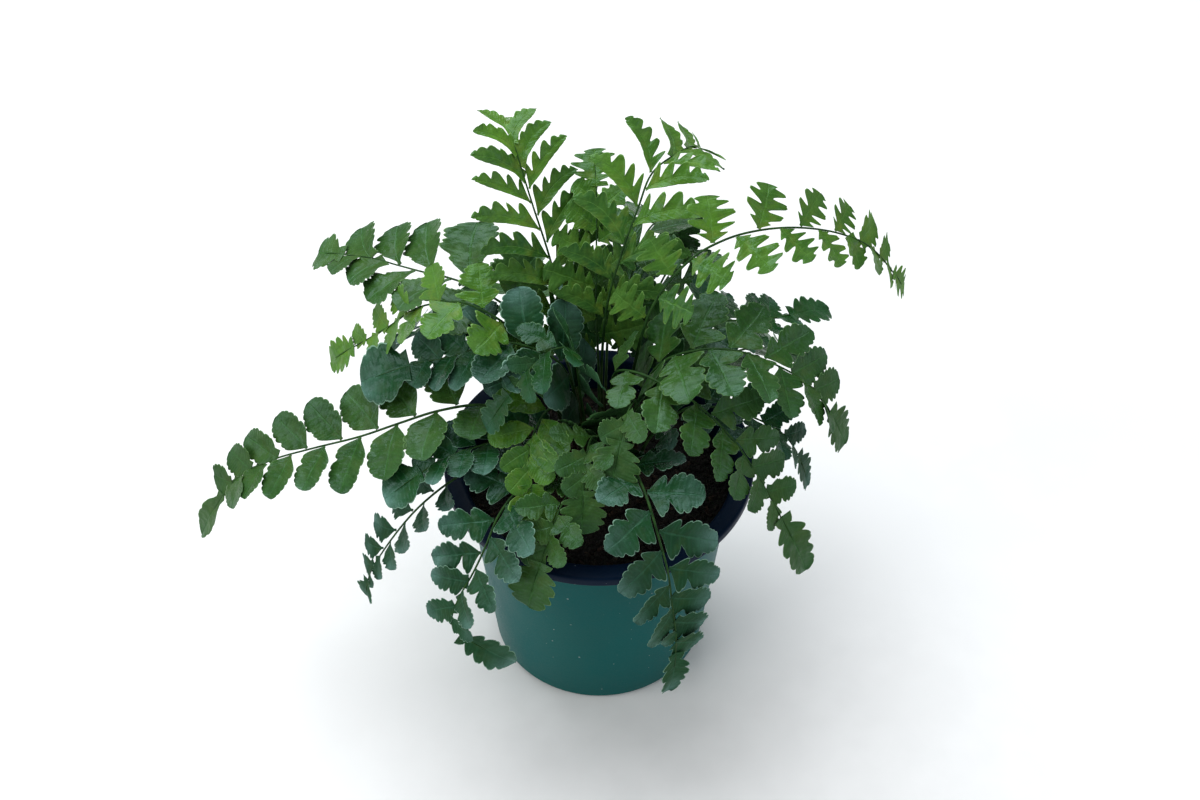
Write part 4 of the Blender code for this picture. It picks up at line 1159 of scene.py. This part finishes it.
def place_leaflets(frond, stalk):
    """The leaflets that the solid carries, each turned and sized as there."""
    corners = solid_corners(frond.name)
    placed = []
    for bud in buds(frond, stalk):
        for choice in CHOICES:
            leaflet = open_bud(frond, stalk, bud, choice)
            droop = STYLES[frond.style].droop * leaflet.length
            tip = leaflet.root + leaflet.along * leaflet.length - leaflet.upper * droop
            if corners.find(tip)[2] < MATCH:
                eased = (choice[0] * RAISE_KEPT, *choice[1:])
                placed.append(open_bud(frond, stalk, bud, eased, twist(frond, bud.number / frond.count)))
                break
    return placed


stalks = {frond.name: Stalk(frond) for frond in FRONDS}
leaflets = {frond.name: place_leaflets(frond, stalks[frond.name]) for frond in FRONDS}
for frond in FRONDS:
    print(frond.name, "leaflets:", len(leaflets[frond.name]), "of", frond.count)

# %% [markdown]
# ## The shape of a leaflet
#
# One drawing rule gives every leaflet: an oval envelope from root to tip, pulled in by cuts between lobes,
# and a finely scalloped edge. Points run outwards from the midrib in slanted rows, as the veins do, so
# that lobes and cuts lean towards the tip. A blade is a thin closed shell: it arches down to its tip, cups
# up from the midrib and is thinner at the edge. Real leaflets aren't copies, so each style gets three
# drawings with other random cuts. The last leaflets of a frond are grown to the stalk, with shallower
# cuts.

# %% Draw the leaflet shapes
ROOT_START = 0.16
LOBE = 2.1
EAR_PLACE = 0.27
EAR_SPREAD = 0.13
TEETH_FROM = 0.2
STALKED_ROOT = 0.05
GROWN_ROOT = 0.27
GROWN_CUTS = 0.45
GROWN_EAR = 0.5
END_TEETH = 0.4
ROWS_OUT = (0.3, 0.62, 0.88, 1.0)
ROWS_UNDER = (0.5, 1.0)
LARGE_STEPS = 54
SMALL_STEPS = 36
LARGE_LEAFLET = 11.5
THICKNESS = 0.020
THINNER_EDGE = 0.6
THINNER_TIP = 0.35
DRAWINGS = 3
EDGE_WAVE = 0.025
WAVE_TURN = 9.0
WAVE_SHIFT = 1.5
MIDRIB_DIP = 0.006
MIDRIB_SPREAD = 0.3
CUT_SHIFT, CUT_DEPTH, CUT_WIDTH = (-0.025, 0.025), (0.75, 1.10), (0.9, 1.15)


def envelope(place, style, ear):
    """The leaflet's outline without cuts: how far along it is, and half its width there."""
    start = cos(pi * ROOT_START)
    angle = pi * between(ROOT_START, 1, place)
    along = (start - cos(angle)) / (start + 1)
    across = 0.5 * sin(angle) * (1 - style.egg * cos(angle))
    across *= sin(0.5 * pi * min(1.0, along / style.wedge)) ** 0.8
    return along, across * (1 + ear * exp(-((along - EAR_PLACE) / EAR_SPREAD) ** 2))


def pulled_in(place, style, cuts):
    """How much of the way from midrib to envelope is left at a place; a low sinus makes sharp cuts."""
    kept = 1.0
    for middle, depth, half in cuts:
        inwards = max(0.0, 1 - abs(place - middle) / half)
        kept *= 1 - depth * (1 - (1 - inwards ** LOBE) ** style.sinus)
    scallop = sqrt(abs(sin(pi * TEETH * place)))
    return kept * (1 - style.teeth * (1 - scallop) * min(1.0, max(0.0, place - TEETH_FROM) / TEETH_FROM))


def vary(cuts, draw):
    """The same cuts with other places, depths and widths."""
    return [(middle + draw.uniform(*CUT_SHIFT), depth * draw.uniform(*CUT_DEPTH),
             half * draw.uniform(*CUT_WIDTH)) for middle, depth, half in cuts]


def leaflet_mesh(name, style, steps, root_half, seed, mirror):
    """One leaflet as a closed shell of unit length and width, with its map and its marks."""
    draw = random.Random(seed)
    sides = {1: (vary(style.upper_cuts, draw), 1.0, style.ear),
             -1: (vary(style.lower_cuts, draw), style.lower_width, 0.0)}
    wave = draw.uniform(0.0, tau)
    sheets = []
    for under, rows in ((0.0, ROWS_OUT), (1.0, ROWS_UNDER)):
        sheet = []
        for place in [step / steps for step in range(steps + 1)]:
            line = []
            for row in [-row for row in reversed(rows)] + [0.0, *rows]:
                side = -1 if row < 0 else 1
                cuts, wide, ear = sides[side]
                along, across = envelope(place, style, ear)
                across = side * max(across * wide, root_half * (1 - place))
                middle = along - style.lean * along * (1 - along)
                share = abs(row) * pulled_in(place, style, cuts)
                x = middle + (along - middle) * share
                y = across * share + 4 * style.bow * x * (1 - x)
                z = style.cup * abs(across * share) * style.width - style.droop * x * x
                rim = row * row * min(1.0, 3.0 * place)
                z += EDGE_WAVE * rim * sin(wave + WAVE_TURN * place + WAVE_SHIFT * side)
                z -= MIDRIB_DIP * max(0.0, 1 - abs(row) / MIDRIB_SPREAD)
                z -= under * THICKNESS * (1 - THINNER_EDGE * row * row) * (1 - THINNER_TIP * place)
                line.append(((x, y * mirror, z), (place, 0.5 + 0.5 * row), under))
            sheet.append(line)
        sheets.append(sheet)
    return shell(name, sheets, steps)


def shell(name, sheets, steps):
    """Join the upper and the lower sheet into one closed mesh that ends in a point."""
    entries, grids = [], []
    for sheet in sheets:
        width = len(sheet[0])
        grids.append([range(start, start + width)
                      for start in range(len(entries), len(entries) + steps * width, width)])
        entries += [entry for line in sheet[:-1] for entry in line]
        grids[-1].append([len(entries)] * width)
        entries.append(sheet[-1][width // 2])
    faces = [(before[column], before[column + 1], after[column + 1], after[column])
             for grid in grids for before, after in zip(grid, grid[1:]) for column in range(len(before) - 1)]
    top, low = grids
    faces += [(top[step][end], top[step + 1][end], low[step + 1][end], low[step][end])
              for step in range(steps) for end in (0, -1)]
    faces.append((*top[0], *reversed(low[0])))
    # Faces at the tip have fewer corners, so each corner is taken once.
    faces = [tuple(dict.fromkeys(face)) for face in faces]
    points, places, under = zip(*entries)
    mesh = settled(make_mesh(name, points, faces, unit=1.0))
    layer = mesh.uv_layers.new(name="leaf_map")
    for loop in mesh.loops:
        layer.data[loop.index].uv = places[loop.vertex_index]
    mark(mesh, "under", under)
    mark(mesh, "reach", [place for place, _ in places])
    return mesh


def leaflet_drawings(kind):
    """A style's drawings in the order of their names: large, small, grown to the stalk, and the end."""
    style = STYLES[kind]
    shallow = {field: [(middle, GROWN_CUTS * depth, half) for middle, depth, half in getattr(style, field)]
               for field in ("upper_cuts", "lower_cuts")}
    grown = style._replace(ear=GROWN_EAR * style.ear, **shallow)
    last = style._replace(upper_cuts=style.end_cuts, lower_cuts=style.end_cuts, lower_width=1.0,
                          teeth=END_TEETH * style.teeth, ear=0.0, bow=0.0)
    rows = ((style, LARGE_STEPS, STALKED_ROOT), (style, SMALL_STEPS, STALKED_ROOT),
            (grown, SMALL_STEPS, GROWN_ROOT))
    plans = [(*row, f"{kind} {drawing}", mirror)
             for row in rows for drawing in range(DRAWINGS) for mirror in (1, -1)]
    plans.append((last, LARGE_STEPS, GROWN_ROOT, f"{kind} end", 1))
    meshes = [leaflet_mesh(f"{kind}_{number:02d}", *plan) for number, plan in enumerate(plans)]
    return keep_drawings(f"leaflets_{kind}", meshes)


def drawing_number(leaflet, grown, draw):
    """Which drawing of its style a leaflet takes."""
    if leaflet.hand == 0:
        return 6 * DRAWINGS
    row = 2 if grown else 0 if leaflet.length > LARGE_LEAFLET else 1
    return 2 * (row * DRAWINGS + draw.randrange(DRAWINGS)) + (0 if leaflet.hand > 0 else 1)


leaflet_kinds = {kind: leaflet_drawings(kind) for kind in STYLES}

# %% [markdown]
# ## One tree for every frond
#
# Leaflets repeat along a path, which is what Geometry Nodes is for. A frond starts as bare lines: the
# points of its stalk joined by edges, and a loose point for each leaflet with its turn, its size and its
# drawing. The tree sets the leaflets and bends each with noise so that no two are alike. It sweeps a round
# stalk along the line, and sets scales on the stalk's foot with the scatter tree from before.

# %% Build the frond tree
STALK_SIDES = 9
RIPPLE_SCALE = 75.0
FOOT_SCALES = {"Smallest": 0.0010, "Largest": 0.0024, "Lean": 0.9}

frond_tree, given, closing = new_group(
    "frond_from_lines", "GeometryNodeTree",
    {"Lines": "Geometry", "Leaflets": "Collection", "Scales": "Collection", "Leaf Finish": "Material",
     "Stalk Finish": "Material", "Scale Finish": "Material", "Ripple": "Float",
     "Scale Density": "Float", "Seed": "Int"}, {"Frond": "Geometry"})
parted = add_node(frond_tree, "GeometryNodeSeparateGeometry", {
    0: given["Lines"], "Selection": named(frond_tree, "leaflet", "BOOLEAN")})
turn = add_node(frond_tree, "FunctionNodeEulerToRotation", {0: named(frond_tree, "turn", "FLOAT_VECTOR")})
blades = change(parted["Selection"], "InstanceOnPoints", **{
    "Instance": members(given["Leaflets"]), "Pick Instance": True,
    "Instance Index": named(frond_tree, "drawing", "INT"), "Rotation": turn[0],
    "Scale": named(frond_tree, "size", "FLOAT_VECTOR")})
wind = add_node(frond_tree, "ShaderNodeTexNoise", {"Scale": RIPPLE_SCALE, "Detail": 1.0})["Color"]
wind = add_node(frond_tree, "ShaderNodeVectorMath", {0: wind, 1: (0.5, 0.5, 0.5)}, operation="SUBTRACT")[0]
bend = {0: wind, "Scale": times(named(frond_tree, "reach"), given["Ripple"])}
bend = add_node(frond_tree, "ShaderNodeVectorMath", bend, operation="SCALE")[0]
blades = change(change(blades, "RealizeInstances"), "SetPosition", Offset=bend)
blades = change(blades, "SetMaterial", Material=given["Leaf Finish"])

section = {"Resolution": STALK_SIDES, "Radius": 0.5}
section = add_node(frond_tree, "GeometryNodeCurvePrimitiveCircle", section)[0]
stem = change(change(parted["Inverted"], "MeshToCurve"), "CurveToMesh", **{
    "Profile Curve": section, "Scale": named(frond_tree, "thick"), "Fill Caps": True})
stem = change(change(stem, "SetShadeSmooth"), "SetMaterial", Material=given["Stalk Finish"])
hairs = add_node(frond_tree, "GeometryNodeGroup", {
    "Surface": stem, "Shapes": given["Scales"], "Finish": given["Scale Finish"],
    "Density": given["Scale Density"], "Seed": given["Seed"], **FOOT_SCALES}, node_tree=scatter)[0]
joined = add_node(frond_tree, "GeometryNodeJoinGeometry", {})[0]
for part in (hairs, stem, blades):
    give(joined.node, {0: part})
give(closing, {"Frond": change(joined, "RealizeInstances")})
print("tree:", frond_tree.name)

# %% Write the lines of a frond
LINE_STEP = 2.0
STALK_SLIMMER = (0.88, 0.62)
FULLER_LENGTH = (1.04, 1.22)
FULLER_WIDTH = (1.30, 1.70)
FULLER_FROM = 0.6
MIDRIB_STEPS = 8
MIDRIB_REACH = 0.80
MIDRIB_THIN = 0.15
SCALY_UP_TO = 0.26
GROWN_FROM = 0.66
GROWN_SHIFT = 1.0
# How fresh the leaflets are at the frond's foot and at its tip, where that isn't usual.
USUAL_YOUTH = (0.30, 0.55)
YOUTH = {
    "frond_tall_back_left": (0.0, 0.9), "frond_tall_back_right": (0.0, 0.9),
    "frond_back_upright": (0.0, 0.6), "frond_long_right": (0.35, 0.8), "frond_young_left": (0.5, 0.8),
    "frond_centre_front": (0.05, 0.35), "frond_upper_left": (0.6, 0.9), "frond_long_left": (0.4, 0.6),
    "frond_middle_right": (0.15, 0.35), "frond_lower_left": (0.5, 0.8),
}
YOUTH_DRAW = 0.25
# What a point of the lines may carry for the frond tree; what it doesn't carry is zero.
LINE_MARKS = {
    "leaflet": "BOOLEAN", "thick": "FLOAT", "climb": "FLOAT", "cover": "FLOAT", "turn": "FLOAT_VECTOR",
    "size": "FLOAT_VECTOR", "drawing": "INT", "tint": "FLOAT", "sky": "FLOAT",
}


def fuller(blade, frond):
    """How much longer and wider than its solid a leaflet is drawn; the last ones grow together."""
    looks = looks_of(frond)
    late = max(0.0, blade.number / frond.count - FULLER_FROM) / (1 - FULLER_FROM)
    ending = between(1, looks.ending, late)
    longer = looks.longer * between(*FULLER_LENGTH, late)
    wider = looks.wider * between(*FULLER_WIDTH, late) * STYLES[looks.style].wide
    if blade.hand == 0:
        return longer * ending, wider * looks.end_width
    return longer, wider * ending


def stalk_line(frond, stalk, end):
    """Points along a stalk and on along the midrib of its end leaflet."""
    line = []
    steps = round(stalk.length / LINE_STEP)
    for step in range(steps + 1):
        distance = stalk.length * step / steps
        climb = distance / stalk.length
        thick = stalk.width(distance) * between(*STALK_SLIMMER, climb)
        line.append({"place": stalk.frame(distance)[0], "thick": thick * MM, "climb": climb,
                     "cover": max(0.0, 1 - climb / SCALY_UP_TO)})
    low = end.root - line[-1]["place"]
    for step in range(1, MIDRIB_STEPS + 1):
        share = MIDRIB_REACH * step / MIDRIB_STEPS
        sunk = STYLES[frond.style].droop * share ** 2 * end.length
        place = end.root + end.along * (share * end.length) - end.upper * sunk
        place -= low * max(0.0, 1 - 2 * step / MIDRIB_STEPS)
        thinner = between(thick, MIDRIB_THIN, step / MIDRIB_STEPS)
        line.append({"place": place, "thick": thinner * MM, "climb": 1.0})
    return line


def leaflet_point(frond, blade, draw):
    """The point that carries a leaflet's turn, size, drawing and looks."""
    grown = blade.number > GROWN_FROM * frond.count
    across = blade.across if blade.hand > 0 else -blade.across
    longer, wider = fuller(blade, frond)
    length = blade.length * longer * MM
    youth = between(*YOUTH.get(frond.name, USUAL_YOUTH), blade.number / frond.count)
    return {
        "place": blade.root - blade.along * (GROWN_SHIFT if grown else 0.0), "leaflet": True,
        "turn": Matrix((blade.along, across, blade.upper)).transposed().to_euler(),
        "size": (length, blade.width * wider * MM, length), "drawing": drawing_number(blade, grown, draw),
        "tint": min(1.0, max(0.0, youth + draw.uniform(-YOUTH_DRAW, YOUTH_DRAW))),
        "sky": max(0.0, blade.upper.z)}


def frond_lines(frond, stalk):
    """The carrier of a frond: stalk points joined by edges, and a loose point for each leaflet."""
    end = end_leaflet(frond, stalk)
    points = stalk_line(frond, stalk, end)
    edges = [(step, step + 1) for step in range(len(points) - 1)]
    draw = random.Random(f"{frond.name} looks")
    points += [leaflet_point(frond, blade, draw) for blade in (*leaflets[frond.name], end)]
    mesh = bpy.data.meshes.new(frond.name + "_lines")
    mesh.from_pydata([point["place"] * MM for point in points], edges, [])
    for name, kind in LINE_MARKS.items():
        nothing = (0.0, 0.0, 0.0) if kind == "FLOAT_VECTOR" else 0
        mark(mesh, name, [point.get(name, nothing) for point in points], kind)
    return add_item(mesh.name, mesh)


print("lines ready")

# %% Grow the fronds
RIPPLE = 0.0024
FOOT_SCALE_DENSITY = 260000.0
FIRST_SEED = 20

for number, frond in enumerate(FRONDS):
    piece = run_tree(frond_lines(frond, stalks[frond.name]), frond_tree, {
        "Leaflets": leaflet_kinds[looks_of(frond).style], "Scales": scale_kinds,
        "Leaf Finish": finishes["leaf_" + frond.colour], "Stalk Finish": finishes["stalk_green"],
        "Scale Finish": finishes["scale_brown"], "Ripple": RIPPLE, "Scale Density": FOOT_SCALE_DENSITY,
        "Seed": FIRST_SEED + number}, frond.name + "_fine")
    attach(piece, "root")
    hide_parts(frond.name)
    print(piece.name, "triangles:", sum(len(face.vertices) - 2 for face in piece.data.polygons))
for collection in (scale_kinds, *leaflet_kinds.values()):
    drop_drawings(collection)
